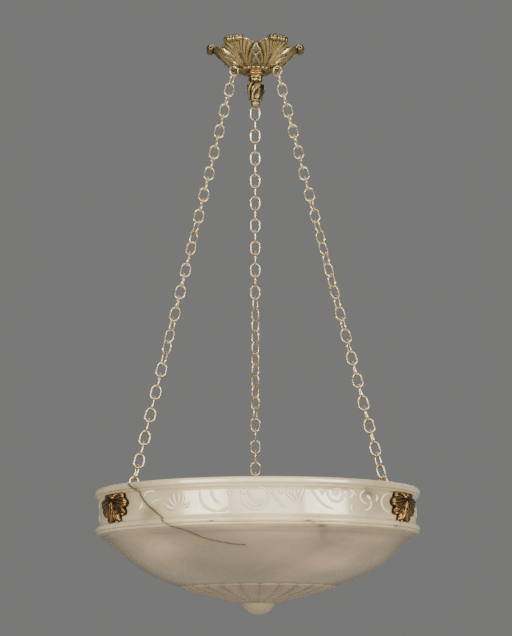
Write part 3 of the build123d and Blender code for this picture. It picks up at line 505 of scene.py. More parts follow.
# Grey clouds in the stone, and rosy ones, written as the spots are. The grey list also holds
# painted shade low on the front
GREYS_AND_SHADE = [
    (-131.5, 48, 5.0, 13, 0.75),
    (-137.0, 8, 2.6, 9, 0.55),
    (-143.0, 28, 10, 26, 0.40),
    (-121, 82, 16, 12, 0.50),
    # These three clouds, low on the front, are painted shade rather than grey in the stone
    (-108, 104, 22, 13, 0.42),
    (-90, 128, 42, 20, 0.60),
    (-66, 96, 20, 20, 0.50),
    (-46, 32, 13, 26, 0.62),
    (-30, 62, 8, 16, 0.22),
    (-146, 30, 14, 24, 0.40),
    (20, 96, 40, 18, 0.45),
    (64, 120, 34, 22, 0.55),
    (118, 92, 26, 14, 0.45),
    (160, 124, 38, 20, 0.50),
    (38, 34, 12, 18, 0.30),
    (-172, 40, 16, 20, 0.30),
]
ROSES = [
    (-134, 96, 13, 14, 0.50),
    (-143, 80, 9, 12, 0.32),
    (-84, 80, 16, 5, 0.35),
    (-96, 72, 9, 3, 0.35),
    (-52, 122, 16, 11, 0.42),
    (-40, 84, 12, 8, 0.25),
    (86, 84, 30, 9, 0.35),
    (-8, 112, 22, 14, 0.35),
    (140, 108, 20, 16, 0.35),
]


def outer_radius(depth):
    """Radius of the bowl's outside at a depth, above the rosette."""
    rows = [(d, r) for r, d in bowl_profile if d <= ROSETTE_DEPTH and r > ROSETTE_R]
    rows.sort()
    return np.interp(depth, [d for d, _ in rows], [r for _, r in rows])


angles = np.radians(FRONT + 360 * np.arange(BOWL_SEGMENTS) / BOWL_SEGMENTS)
petals = petal_share(angles)


def bowl_ring(radius, depth):
    """One ring of points round the bowl."""
    height = rim_top - depth + 0 * angles
    return np.stack([radius * np.cos(angles), radius * np.sin(angles), height], -1)


def bowl_row(radius, depth):
    """One ring of the bowl's outside, with the rosette's petals and scallops carved in."""
    scalloped = radius < ROSETTE_R + 2 and depth > ROSETTE_DEPTH - 1
    near_lip = float(smoothstep(SCALLOP_START_R, lip[0], radius)) * scalloped
    on_rosette = float(KNOB_R + 1.5 < radius <= lip[0] + 0.1 and depth > ROSETTE_DEPTH)
    fade = PETAL_FADE + (1 - PETAL_FADE) * float(smoothstep(KNOB_R, lip[0], radius))
    r = radius - SCALLOP * (1 - petals) * near_lip
    d = depth - PETAL_GROOVE * fade * on_rosette * (1 - petals)
    return bowl_ring(r, d), (1 - petals) * on_rosette


def bowl_mesh():
    """Points, faces and carved grooves of the bowl, outside first and then its inside."""
    rows, grooves = [], []
    for radius, depth in bowl_profile:
        row, groove = bowl_row(radius, depth)
        rows.append(row)
        grooves.append(groove)
    rows.append(bowl_ring(POLE_R, BOWL_H))
    outside = len(rows)
    rows += [bowl_ring(radius, depth) for radius, depth in bowl_inside]
    grooves += [0 * petals] * (1 + len(bowl_inside))
    n = BOWL_SEGMENTS
    faces = grid_faces(outside, n, True)
    inside_faces = grid_faces(len(bowl_inside), n, True)
    faces += [[i + outside * n for i in face] for face in inside_faces]
    faces += closing_faces(len(rows), n)
    faces.append(list(range((outside - 1) * n, outside * n)))
    faces.append(list(reversed(range(outside * n, (outside + 1) * n))))
    return np.vstack(rows), faces, np.concatenate(grooves)


bowl_points, bowl_faces, bowl_grooves = bowl_mesh()
bowl_angle = np.degrees(np.arctan2(bowl_points[:, 1], bowl_points[:, 0]))
bowl_radius = np.hypot(bowl_points[:, 0], bowl_points[:, 1])
bowl_depth = rim_top - bowl_points[:, 2]
# Points of the outside: beyond the inner wall, or well below the inner floor
outward = bowl_radius > INNER_R + 0.9
floor_depth = [inner_depth(min(max(r, ROSETTE_R), INNER_R)) for r in bowl_radius]
outward |= bowl_depth > np.array(floor_depth) + 4


def soft_spots(spots):
    """Share of each bowl point in a list of soft oval spots on the outside."""
    share = np.zeros(len(bowl_points))
    for angle, depth, wide, tall, strength in spots:
        round_about = (bowl_angle - angle + 180) % 360 - 180
        away = (round_about / wide) ** 2 + ((bowl_depth - depth) / tall) ** 2
        share = np.maximum(share, strength * np.exp(-away))
    return share * outward


def crack_stain():
    """Darkening along the crack, which fades before its end."""
    stain = np.zeros(len(bowl_points))
    for i, ((a0, d0), (a1, d1)) in enumerate(zip(CRACK, CRACK[1:])):
        p = np.stack([np.radians(bowl_angle - a0) * BAND_R, bowl_depth - d0], -1)
        q = np.array([math.radians(a1 - a0) * BAND_R, d1 - d0])
        t = np.clip(p @ q / (q @ q), 0, 1)
        away = np.linalg.norm(p - t[:, None] * q, axis=1)
        fade = 1 - STAIN_FADE * i / len(CRACK)
        near = np.exp(-((away / STAIN_REACH) ** 2))
        stain = np.maximum(stain, STAIN_STRENGTH * fade * near)
    return stain * outward


# Dark lines in the grooves, partly dirt and partly painted shade: depth, reach and strength
GROOVE_DIRT_AND_SHADE = [
    (TORUS_CREASE, 0.7, 0.8), (STEP_CREASE, 0.8, 0.7), (RIM_GROOVE, 0.8, 0.45),
    (ROSETTE_DEPTH, 1.0, 0.6),
]
# Painted shade over the downward-facing rosette as a whole, from the knob's foot to where it has
# faded
ROSETTE_SHADE = 0.70
ROSETTE_SHADE_ENDS = (106, 118)


def bowl_dirt_and_shade():
    """Dirt and painted shade in the grooves under the torus and the rim, and painted shade between
    the petals and over the rosette.
    """
    lines = [strength * np.exp(-(((bowl_depth - depth) / reach) ** 2))
             for depth, reach, strength in GROOVE_DIRT_AND_SHADE]
    on_rosette = ROSETTE_SHADE * smoothstep(KNOB_R, KNOB_R + 6, bowl_radius)
    on_rosette *= 1 - smoothstep(*ROSETTE_SHADE_ENDS, bowl_radius)
    # The petal grooves are darkened with painted shade
    dirt_and_shade = np.maximum.reduce(lines) * outward + 0.75 * bowl_grooves ** 1.5
    return np.clip(dirt_and_shade + on_rosette * (bowl_depth > ROSETTE_DEPTH + 1), 0, 1)


bowl_marks = {
    "stain": np.maximum(crack_stain(), soft_spots(SPOTS)),
    "dirt_and_shade": bowl_dirt_and_shade(),
    "grey_and_shade": soft_spots(GREYS_AND_SHADE),
    "rose": soft_spots(ROSES),
}
bowl = make_piece("alabaster_bowl_carved", bowl_points, bowl_faces, alabaster,
                  "bowl_assembly", bowl_marks)
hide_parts("alabaster_bowl")


# ---- Low relief on the bowl: strips with a rounded back, laid on the surface

# Across a strip: share of its half width, share of its height and how much painted shade it
# carries there
CRACK_SHAPE = [(-1.0, -0.6, 0), (-0.75, 0.45, 0), (0.0, 1.0, 0), (0.75, 0.45, 0), (1.0, -0.6, 0)]
CARVED_SHAPE = [
    (-1.0, -0.6, 0.75), (-0.94, 0.10, 0.75), (-0.66, 0.12, 0.85), (-0.50, 0.65, 0.15),
    (0.0, 1.0, 0), (0.50, 0.65, 0.15), (0.66, 0.12, 0.85), (0.94, 0.10, 0.75), (1.0, -0.6, 0.75),
]
# Where a shape's height share is below 0, the strip's edge lies this deep in the stone
STRIP_SINK = 0.5


def strip(shape, path, half_widths, heights, radius_at):
    """A strip along a path of (round, depth) points in millimetres, closed underneath."""
    path = np.asarray(path, float)
    ahead = np.gradient(path, axis=0)
    ahead /= np.linalg.norm(ahead, axis=1)[:, None] + 1e-9
    side = np.stack([-ahead[:, 1], ahead[:, 0]], -1)
    rows = []
    for share, lift, _ in shape:
        flat = path + side * (share * half_widths)[:, None]
        radius = radius_at(flat[:, 1]) + (lift * heights if lift > 0 else -STRIP_SINK)
        a = flat[:, 0] / BAND_R
        rows.append(np.stack([radius * np.cos(a), radius * np.sin(a), rim_top - flat[:, 1]], -1))
    points = np.stack(rows, 1).reshape(-1, 3)
    n = len(shape)
    return points, grid_faces(len(path), n, True) + end_caps(len(path), n)


def on_band(depth):
    return np.full_like(depth, BAND_R)


# Half width and taper of the frieze's stems and leaves, and the height of both
STEM_HALF, STEM_TAPER = 2.3, 0.35
LEAF_HALF, LEAF_TAPER = 3.4, 0.8
RELIEF = 1.0
# The two bays that the photograph doesn't show go without strokes farther out than this
REAR_REACH = 35
# How dark the painted shade in the hollows beside the strokes is
FRIEZE_SHADE = 0.8
# The frieze of one bay: angle from the bay's middle and depth of points along each stem and leaf
STEMS = [
    [(-44, 22), (-43.2, 17.5), (-41.1, 15.5), (-38.6, 16.5)],
    [(-40.5, 34.5), (-38.5, 29.5), (-35.9, 28.5)],
    [(-21, 17), (-20.8, 29), (-19.9, 38), (-18.3, 44.5), (-16.3, 48.5), (-14.2, 49.5)],
    [(-16.8, 16), (-16.6, 25), (-15.7, 32.5), (-14.1, 38)],
    [(-14.2, 49.5), (-12.3, 48), (-11.1, 43)],
    [(-3.6, 17), (-3.9, 23.5), (-3.2, 30.5), (-1.7, 34.5), (-0.1, 33)],
    [(-6.6, 31), (-5.9, 39), (-4.3, 45), (-2.1, 47), (0.2, 44.5), (1.8, 37.5), (2.5, 29),
     (2.1, 21), (0.7, 16.5), (-1.1, 15.2)],
    [(-5, 32.5), (-3.9, 38.5), (-2.1, 41), (-0.3, 39), (0.9, 33)],
    [(2.2, 15.5), (3.7, 22), (5.2, 32), (6.7, 40), (8.5, 44.5)],
    [(16.8, 15.5), (18.2, 22.5), (20, 32.5), (22.5, 41.5), (25.5, 46)],
    [(23.3, 16), (23.5, 25), (24.6, 31.5), (26.4, 34.5), (28.4, 32.5), (29.5, 25.5),
     (28.9, 18.5), (27.4, 16), (25.9, 17.5), (25.6, 22.5), (26.7, 26)],
    [(38.8, 15.5), (37.1, 20.5), (36.8, 27), (37.9, 33), (39.7, 35.5)],
    [(41.8, 31), (41.8, 38), (40.5, 43.5), (38.6, 46)],
    [(51.3, 17), (48.9, 20.5), (47.5, 27), (47.5, 35), (48.8, 41.5), (51, 45.5)],
]
LEAVES = [
    [(-30.1, 40), (-32.1, 33.5), (-32.9, 26.5)],
    [(-29.7, 38.5), (-30.8, 28.5), (-30.9, 20)],
    [(-29.1, 37.5), (-28.8, 28), (-29.3, 18)],
    [(-28.5, 38.5), (-27.3, 31.5), (-27.1, 21.5)],
    [(-30.3, 43.5), (-32.9, 41), (-34.9, 34)],
    [(-28, 42), (-25.9, 39.5), (-24.7, 33)],
    [(-7.2, 17), (-5.7, 21.5), (-4.5, 26)],
    [(-7.3, 25), (-5.9, 22.5), (-4.4, 16.5)],
    [(-12, 20), (-10.6, 23), (-10.2, 29)],
    [(5.5, 16.5), (6.7, 20.5), (8.4, 22)],
    [(6.8, 15), (6.9, 21), (6.1, 26.5)],
    [(9.4, 16), (9.1, 22.5), (10.1, 29), (12.2, 35.5)],
    [(11.9, 15.2), (11.4, 21), (12, 28), (12.8, 38)],
    [(14.5, 15.5), (14.4, 20.5), (13.5, 28), (12.9, 39)],
    [(19.8, 16), (21.5, 19), (23.1, 18)],
    [(21.1, 15), (21.5, 20.5), (20.9, 26)],
    [(26.3, 21.5), (27.1, 22), (27.7, 25)],
    [(32.3, 15), (33.4, 19.5), (35.4, 24.5)],
    [(31.9, 30), (33.4, 24), (34.2, 15.5)],
    [(33.3, 48), (32.8, 42), (33.4, 36.5)],
    [(39.5, 23), (40.9, 26), (41.5, 30)],
    [(44.5, 21), (45, 26), (44.3, 31)],
    [(-47, 41), (-45.4, 37), (-44.9, 30)],
]


def smooth_path(points, count):
    """A smooth path through given points."""
    p = np.asarray(points, float)
    p = np.vstack([2 * p[0] - p[1], p, 2 * p[-1] - p[-2]])
    t = np.linspace(0, len(p) - 3 - 1e-6, count)
    k = t.astype(int)
    u = (t - k)[:, None]
    a, b, c, d = p[k], p[k + 1], p[k + 2], p[k + 3]
    square, cube = 2 * a - 5 * b + 4 * c - d, 3 * b - a - 3 * c + d
    return 0.5 * (2 * b + (c - a) * u + square * u**2 + cube * u**3)


def frieze_parts(middle):
    """One bay of the frieze: tapering stems and pointed leaves in low relief."""
    parts = []
    kinds = ((STEMS, STEM_HALF, STEM_TAPER), (LEAVES, LEAF_HALF, LEAF_TAPER))
    for strokes, half, taper in kinds:
        for points in strokes:
            if middle != FRONT and max(abs(a) for a, _ in points) > REAR_REACH:
                continue
            path = smooth_path(points, max(14, 9 * len(points)))
            path[:, 0] = np.radians(path[:, 0] + middle) * BAND_R
            swell = np.sin(np.pi * np.linspace(0.04, 0.96, len(path))) ** taper
            half_widths, heights = half * swell + 0.1, RELIEF * swell + 0.1
            parts.append(strip(CARVED_SHAPE, path, half_widths, heights, on_band))
    return parts


frieze_points, frieze_faces = joined([part for bay in BAYS for part in frieze_parts(bay)])
frieze_rows = len(frieze_points) // len(CARVED_SHAPE)
frieze_shade = np.tile([stroke_shade for _, _, stroke_shade in CARVED_SHAPE], frieze_rows)
# The hollows beside the strokes are darkened with painted shade, laid on through the grey mark
make_piece("band_scrolls", frieze_points, frieze_faces, carved_stone,
           "bowl_assembly", {"grey_and_shade": FRIEZE_SHADE * frieze_shade})

CRACK_POINTS = 130
CRACK_HALF = 1.45
CRACK_RELIEF = 0.14


def crack_mesh():
    """The mended crack: a thin ragged seam that narrows along its way."""
    along = np.linspace(0, len(CRACK) - 1, CRACK_POINTS)
    ragged = 0.7 * np.sin(along * 9.1) + 0.5 * np.sin(along * 23.7 + 1)
    places = range(len(CRACK))
    around = np.interp(along, places, np.radians([a for a, _ in CRACK]) * BAND_R)
    down = np.interp(along, places, [d for _, d in CRACK])
    path = np.stack([around + ragged * 0.5, down + ragged * 0.3], -1)
    half = CRACK_HALF * (0.6 + 0.4 * np.abs(np.sin(along * 5.3))) * (1 - 0.4 * along / along[-1])
    return strip(CRACK_SHAPE, path, half, np.full(CRACK_POINTS, CRACK_RELIEF), outer_radius)


crack_points, crack_faces = crack_mesh()
make_piece("stone_seam", crack_points, crack_faces, seam_stone, "bowl_assembly")


# ---- Crown: six acanthus leaves on a beaded base with ears for the rings

# Leaf: count, thickness, the places of its root and crest, and its sag between them
LEAF_COUNT = 6
LEAF_T = 2.4
LEAF_ROOT_R = 27.0
LEAF_CREST_R = 69.0
LEAF_CREST_RISE = 40.75
LEAF_SAG = 1.8
# Curl at the crest: its radii, its turn in degrees and how much it narrows to its sides
CURL_R = 5.6
CURL_END_R = 1.5
CURL_TURN = 450.0
CURL_BARREL = 0.30
SPINE_POINTS = 50
LEAF_ROWS = 120
LEAF_COLUMNS = 91
# Ribs: how wide they start, how fast they spread and how far apart they are
RIB_START = 2.0
RIB_SPREAD = 2.1
RIB_STEP = 0.36
# Lift of the ribs, of the lobes and of the leaf's edge, and how far all of it is set back
RIB_LIFT = 2.3
LOBE_LIFT = 1.5
EDGE_LIFT = 1.6
LEAF_SET_BACK = 1.6
LEAF_LIFT_SHARE = 0.9
crest_limit = cad_box[1].z / MM - LEAF_T / 2 - 0.1
# The crown's floor, its ears and its beads
FLOOR_TOP = -26.5
FLOOR_T = 2.5
RING_CIRCLE_R = 40.6
EAR_GRIP = 5.6
EAR_HALF_WIDTH = 6.5
EAR_HOLE_R = 3.2
EAR_ROOT = 12
EAR_INSET = 0.06
EAR_CHAMFER = 0.5
EAR_SEGMENTS = 48
BEAD_COUNT = 22
BEAD_CIRCLE_R = 27.2
BEAD_RISE = 2.7
BEAD_SIZE = (2.4, 3.2, 2.5)
BEAD_CHANGE = 0.13
# Half angle of a leaf at each radius out from the axis: it meets its neighbour in two
# places, which leaves two holes between them
LEAF_OUTLINE = [
    (27, 29.9), (33, 29.9), (35.5, 25.5), (38.5, 25), (42, 29.4), (47, 29.9), (50, 27),
    (52.5, 22.5), (55, 26.5), (59, 29.6), (62.5, 28.6), (65.5, 21.5), (67, 15.8), (69, 14.4),
]

leaf_start = (LEAF_ROOT_R, FLOOR_TOP - FLOOR_T / 2)
leaf_crest = (LEAF_CREST_R, leaf_start[1] + LEAF_CREST_RISE)
chord = math.hypot(leaf_crest[0] - leaf_start[0], leaf_crest[1] - leaf_start[1])
away = ((leaf_crest[1] - leaf_start[1]) / chord, (leaf_start[0] - leaf_crest[0]) / chord)
leaf_middle = ((leaf_start[0] + leaf_crest[0]) / 2 + LEAF_SAG * away[0],
               (leaf_start[1] + leaf_crest[1]) / 2 + LEAF_SAG * away[1])
flare = np.array(arc(leaf_start, leaf_middle, leaf_crest, SPINE_POINTS) + [leaf_crest])
flare_x, flare_z, flare_radius = circle_through(leaf_start, leaf_middle, leaf_crest)
outer_share = 1 + CURL_R / flare_radius
curl_x = flare_x + outer_share * (leaf_crest[0] - flare_x)
curl_z = flare_z + outer_share * (leaf_crest[1] - flare_z)
curl_from = math.atan2(leaf_crest[1] - curl_z, leaf_crest[0] - curl_x)
curl_turns = curl_from - np.radians(np.linspace(0, CURL_TURN, SPINE_POINTS)[1:])
curl_radii = CURL_R - (CURL_R - CURL_END_R) * np.linspace(0, 1, SPINE_POINTS - 1)
curl = np.stack([curl_x + curl_radii * np.cos(curl_turns),
                 curl_z + curl_radii * np.sin(curl_turns)], -1)
spine = np.vstack([flare, curl])
spine_run = np.concatenate([[0], np.cumsum(np.linalg.norm(np.diff(spine, axis=0), axis=1))])
flare_run = spine_run[len(flare) - 1]


def leaf_mesh():
    """Points, faces and hollows of one leaf about +X.

    Ribs rise from its foot and sweep out into its lobes, and its crest rolls outwards.
    """
    s = np.linspace(0, spine_run[-1], LEAF_ROWS)
    radius = np.interp(s, spine_run, spine[:, 0])
    height = np.interp(s, spine_run, spine[:, 1])
    half = np.radians(np.interp(np.minimum(radius, LEAF_CREST_R), *zip(*LEAF_OUTLINE))) * radius
    on_curl = np.clip((s - flare_run) / (spine_run[-1] - flare_run), 0, 1)
    lip_half = math.radians(LEAF_OUTLINE[-1][1]) * LEAF_CREST_R
    half = np.where(on_curl > 0, lip_half * (1 - 0.12 * on_curl), half)
    v = np.linspace(-1, 1, LEAF_COLUMNS)
    S, V = np.meshgrid(s, v, indexing="ij")
    across = V * half[:, None]
    spread = RIB_START + (lip_half - RIB_START) * np.minimum(S / flare_run, 1) ** RIB_SPREAD
    fan = np.arcsinh(2 * across / spread) / math.asinh(2)
    rib = (1 - np.abs(2 * np.mod(fan / RIB_STEP + 0.5, 1) - 1)) ** 0.7
    lobe = np.abs(np.cos(np.pi * fan / (3 * RIB_STEP))) ** 0.5
    grow = smoothstep(0, 12, S) * (1 - 0.5 * smoothstep(flare_run - 3, flare_run + 5, S))
    edge = smoothstep(0.80, 1.0, np.abs(V))
    wave = 0.8 * np.cos(9.4 * V + 0.4) * on_curl[:, None] * (1 - on_curl[:, None])
    lift = grow * (RIB_LIFT * rib + LOBE_LIFT * lobe + EDGE_LIFT * edge) - LEAF_SET_BACK + wave
    tangent = np.gradient(spine, axis=0)
    tangent /= np.linalg.norm(tangent, axis=1)[:, None]
    tx = np.interp(s, spine_run, tangent[:, 0])
    tz = np.interp(s, spine_run, tangent[:, 1])
    barrel = 1 - CURL_BARREL * smoothstep(0, 0.2, on_curl)[:, None] * np.abs(V) ** 2.5
    rolled, out, up = on_curl[:, None] > 0, radius[:, None], height[:, None]
    R = np.where(rolled, curl_x + (out - curl_x) * barrel, out)
    Z = np.where(rolled, curl_z + (up - curl_z) * barrel, up)
    R = R + tz[:, None] * lift * LEAF_LIFT_SHARE
    Z = np.minimum(Z - tx[:, None] * lift * LEAF_LIFT_SHARE, crest_limit)
    phi = across / out
    points = np.stack([R * np.cos(phi), R * np.sin(phi), Z], -1).reshape(-1, 3)
    hollow = np.clip(1.15 - rib * 1.05 - lobe * 0.35 - 0.5 * edge, 0, 1) * grow
    hollow = np.clip(hollow + 0.15 * on_curl[:, None], 0, 1)
    return points, grid_faces(LEAF_ROWS, LEAF_COLUMNS, False), hollow.ravel()


leaf_points, leaf_faces, leaf_hollow = leaf_mesh()
crown_points, crown_faces = joined(
    [(turned(leaf_points, 360 / LEAF_COUNT * i), leaf_faces) for i in range(LEAF_COUNT)]
)
crown = make_piece("crown_leaves", crown_points, crown_faces, gilt, "crown_assembly",
                   {"hollow": np.tile(leaf_hollow, LEAF_COUNT)})
solid = crown.modifiers.new("thickness", "SOLIDIFY")
solid.thickness = LEAF_T * MM
solid.offset = 0
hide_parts(*[f"crown_leaf_{i + 1}" for i in range(LEAF_COUNT)])


floor_bottom = FLOOR_TOP - FLOOR_T
BASE_SEGMENTS = 96
# The crown's floor round the rod's hole, as a closed line of (radius, height) points
BASE_PROFILE = [
    (4.4, FLOOR_TOP), (4.4, floor_bottom), (17, floor_bottom), (20, floor_bottom + 0.2),
    (21, floor_bottom + 0.7), (22, floor_bottom + 0.2), (24.5, floor_bottom + 0.4),
    (26.6, floor_bottom + 1.4), (27.2, FLOOR_TOP), (25.6, FLOOR_TOP + 0.6),
]


def base_mesh():
    """The crown's floor, turned from its profile."""
    a = np.radians(360 * np.arange(BASE_SEGMENTS) / BASE_SEGMENTS)
    rings = [np.stack([r * np.cos(a), r * np.sin(a), z + 0 * a], -1) for r, z in BASE_PROFILE]
    faces = grid_faces(len(rings), BASE_SEGMENTS, True) + closing_faces(len(rings), BASE_SEGMENTS)
    return np.vstack(rings), faces


base_points, base_faces = base_mesh()
base = make_piece("crown_base", base_points, base_faces, gilt, "crown_assembly")
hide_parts("crown_floor")


def bead_parts():
    """A row of cast beads round the crown's base, some larger than others."""
    parts = []
    ball, faces = unit_ball(10, 12)
    for i in range(BEAD_COUNT):
        size = np.array(BEAD_SIZE) * (1 + BEAD_CHANGE * math.sin(2.3 * i))
        bead = ball * size + [BEAD_CIRCLE_R, 0, floor_bottom + BEAD_RISE]
        parts.append((turned(bead, 360 * i / BEAD_COUNT), faces))
    return parts


bead_points, bead_faces = joined(bead_parts())
make_piece("crown_beads", bead_points, bead_faces, gilt, "crown_assembly")


def ear_mesh(angle):
    """One ring ear: a flat tab with a round end and a hole, from the crown's floor."""
    n = EAR_SEGMENTS
    a = np.radians(360 * np.arange(n) / n)
    end_r = RING_CIRCLE_R + EAR_GRIP / 2
    middle = end_r - EAR_HALF_WIDTH
    hole_r = RING_CIRCLE_R - EAR_GRIP / 2 - EAR_HOLE_R
    # Round at its end, and long with squarer corners at its root
    at_end = np.cos(a) > 0
    reach = np.where(at_end, EAR_HALF_WIDTH, EAR_ROOT) * np.cos(a)
    side = np.sign(np.sin(a)) * np.abs(np.sin(a)) ** np.where(at_end, 1, 0.5)
    outline = np.stack([middle + reach, EAR_HALF_WIDTH * side], -1)
    hole = np.stack([hole_r + EAR_HOLE_R * np.cos(a), EAR_HOLE_R * np.sin(a)], -1)
    inset = outline + (np.array([middle, 0]) - outline) * EAR_INSET
    rings = [(outline, FLOOR_TOP - EAR_CHAMFER), (inset, FLOOR_TOP), (hole, FLOOR_TOP),
             (hole, floor_bottom), (inset, floor_bottom), (outline, floor_bottom + EAR_CHAMFER)]
    points = np.vstack([np.column_stack([ring, np.full(n, z)]) for ring, z in rings])
    faces = grid_faces(len(rings), n, True) + closing_faces(len(rings), n)
    return turned(points, angle), faces


ear_points, ear_faces = joined([ear_mesh(angle) for angle in STATIONS.values()])
make_piece("crown_ears", ear_points, ear_faces, gilt, "crown_assembly")


# ---- Finial: a cast drop with swirling leaves

finial_low, finial_high = (corner.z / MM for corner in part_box("finial"))
finial_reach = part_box("finial")[1].x / MM - 0.05
# Radius of the drop at each share of its way down
FINIAL_PROFILE = [
    (0.0, 11.6), (0.03, 12.2), (0.07, 11.0), (0.12, 11.5), (0.17, 10.8), (0.22, 12.4),
    (0.29, 14.4), (0.37, 15.3), (0.48, 13.6), (0.60, 10.6), (0.71, 8.6), (0.77, 8.8),
    (0.805, 7.0), (0.83, 7.8), (0.88, 7.7), (0.93, 6.4), (0.98, 3.8), (1.0, 0.6),
]
FINIAL_LEAVES = 4
FINIAL_ROWS = 130
FINIAL_COLUMNS = 160
# The free tip of one leaf: its angle and its share of the way down
TIP_ANGLE = 190
TIP_PLACE = 0.775


def finial_mesh():
    """A drop of leaves that wind round it, with loose folds at the neck and one free tip."""
    rows, columns = FINIAL_ROWS, FINIAL_COLUMNS
    t = np.linspace(0, 1, rows)
    base = np.interp(t, *zip(*FINIAL_PROFILE))
    a = np.radians(360 * np.arange(columns) / columns)
    T, A = np.meshgrid(t, a, indexing="ij")
    body = smoothstep(0.13, 0.24, T) * (1 - smoothstep(0.74, 0.80, T))
    neck = smoothstep(0.02, 0.06, T) * (1 - smoothstep(0.14, 0.22, T))
    wind = FINIAL_LEAVES * A / (2 * np.pi) + 1.5 * T
    wind += 0.16 * np.sin(8.5 * T + 2 * A) + 0.10 * np.sin(3 * A)
    across = np.mod(wind, 1)
    lip = smoothstep(0.30, 0.94, across) * (1 - smoothstep(0.94, 1.0, across))
    fold = 0.5 + 0.5 * np.cos(2 * np.pi * (2.6 * across ** 1.3 + 0.6 * T))
    pleat = 0.5 + 0.5 * np.cos(9 * A + 6 * T)
    lift = body * (2.6 * lip + 0.7 * fold - 2.4) + neck * (1.2 * pleat - 0.8)
    tip = np.exp(-(((A - math.radians(TIP_ANGLE)) / 0.22) ** 2) - ((T - TIP_PLACE) / 0.022) ** 2)
    radius = np.minimum(base[:, None] + lift + 1.4 * body + 4.6 * tip, finial_reach)
    points = np.stack([radius * np.cos(A), radius * np.sin(A),
                       finial_high + (finial_low - finial_high) * T], -1).reshape(-1, 3)
    faces = grid_faces(rows, columns, True)
    faces += [list(reversed(range(columns))), list(range((rows - 1) * columns, rows * columns))]
    ring = np.exp(-(((T - 0.808) / 0.012) ** 2))
    hollow = body * (0.95 - 0.95 * lip - 0.35 * fold) + neck * 0.7 * (1 - pleat) + 0.9 * ring
    return points, faces, np.clip(hollow, 0, 1).ravel()


finial_points, finial_faces, finial_hollow = finial_mesh()
finial = make_piece("finial_foliate", finial_points, finial_faces, gilt,
                    "crown_assembly", {"hollow": finial_hollow})
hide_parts("finial")


# ---- Leaf appliques on the band

# Lobes of the right half of a vine leaf: root, tip and bend as (across, up), then its half
# width and its height at the root
APPLIQUE_LOBES = [
    ((1.0, 9.0), (18.0, -24.0), (2.0, -5.0), 6.4, 12.2),
    ((2.0, 9.0), (34.5, -10.0), (11.0, 2.0), 7.4, 12.0),
    ((2.5, 10.0), (40.0, 5.0), (19.0, 8.5), 7.2, 11.6),
    ((2.5, 11.0), (31.0, 17.0), (14.0, 14.5), 6.4, 11.0),
    ((1.5, 13.0), (13.0, 21.0), (6.0, 19.5), 4.8, 10.0),
]
# A lobe is widest far out, like a paddle, and its tip comes down to this height
LOBE_SWELL = 2.3
LOBE_TIP_HEIGHT = 5.2
LOBE_ROWS = 32
LOBE_COLUMNS = 25
# Knobs at the leaf's head: across, up and size. The plate behind the lobes: up, height and size
KNOBS = [(0, 15.5, 3.8), (6.5, 17.8, 2.8), (-6.5, 17.8, 2.8)]
KNOB_HEIGHT = 8.0
KNOB_STRETCH = 1.35
PLATE_UP = 3.5
PLATE_HEIGHT = 1.6
PLATE_SIZE = (21.0, 13.5, 4.6)
# The leaf's middle lies this far below its top, and these are its edge's and its own heights
LEAF_BELOW_TOP = 22.0
LEAF_EDGE = 1.2
LEAF_LOWEST = 0.4
LEAF_HIGHEST = 12.8
# The leaves beside the front reach farther on the side away from it
OUTER_SIDE = {"left": -1, "right": 1, "back": 0}
OUTER_STRETCH = 0.12


def lobe_mesh(root, tip, bend, width, high, side):
    """One lobe of a leaf on the band, with a vein, a ridge on each side and a closed underside."""
    t = np.linspace(0, 1, LOBE_ROWS)
    v = np.linspace(-1, 1, LOBE_COLUMNS)
    root, tip, bend = (np.array([side * p[0], p[1]]) for p in (root, tip, bend))
    line = np.outer((1 - t) ** 2, root) + np.outer(2 * t * (1 - t), bend) + np.outer(t**2, tip)
    ahead = np.gradient(line, axis=0)
    ahead /= np.linalg.norm(ahead, axis=1)[:, None]
    T, V = np.meshgrid(t, v, indexing="ij")
    lobed = np.sin(np.pi * np.clip(t, 0.02, 1) ** LOBE_SWELL) ** 0.6
    half = width * lobed * (1 + 0.10 * np.cos(2 * np.pi * 4 * t)) + 1.6 * (1 - t) + 0.25
    across = line[:, 0, None] - V * half[:, None] * ahead[:, 1, None]
    up = line[:, 1, None] + V * half[:, None] * ahead[:, 0, None]
    vein = np.exp(-((V / 0.13) ** 2)) * smoothstep(0.05, 0.2, T) * (1 - smoothstep(0.75, 0.95, T))
    paddle = smoothstep(0.30, 0.60, T) * (1 - smoothstep(0.90, 1.0, T))
    ridge = np.exp(-(((np.abs(V) - 0.66) / 0.20) ** 2)) * paddle
    slope = high - (high - LOBE_TIP_HEIGHT) * T**1.2
    height = slope - 1.6 * V**2 + 1.5 * ridge + 1.2 * vein - 2.2 * smoothstep(0.88, 1.0, T)
    height = np.maximum(height, LEAF_EDGE + 0.3)
    hollow = np.clip(0.85 - 0.85 * ridge - 1.0 * vein - 0.15 * smoothstep(0.4, 0.7, T), 0, 1)
    across = np.column_stack([across, across[:, -1], across[:, 0]])
    up = np.column_stack([up, up[:, -1], up[:, 0]])
    height = np.column_stack([height, np.full((LOBE_ROWS, 2), LEAF_EDGE)])
    # The two columns down to the band are fully dark: painted shade under the lobe's edge
    hollow = np.column_stack([hollow, np.ones((LOBE_ROWS, 2))])
    n = LOBE_COLUMNS + 2
    faces = grid_faces(LOBE_ROWS, n, True) + end_caps(LOBE_ROWS, n)
    return np.stack([across, up, height], -1).reshape(-1, 3), faces, hollow.ravel()


def knob_mesh(across, up, height, size):
    """A round knob or berry on the leaf, with painted shade that darkens it towards its foot."""
    ball, faces = unit_ball(12, 15)
    return ball * size + [across, up, height], faces, 0.5 - 0.5 * ball[:, 2]


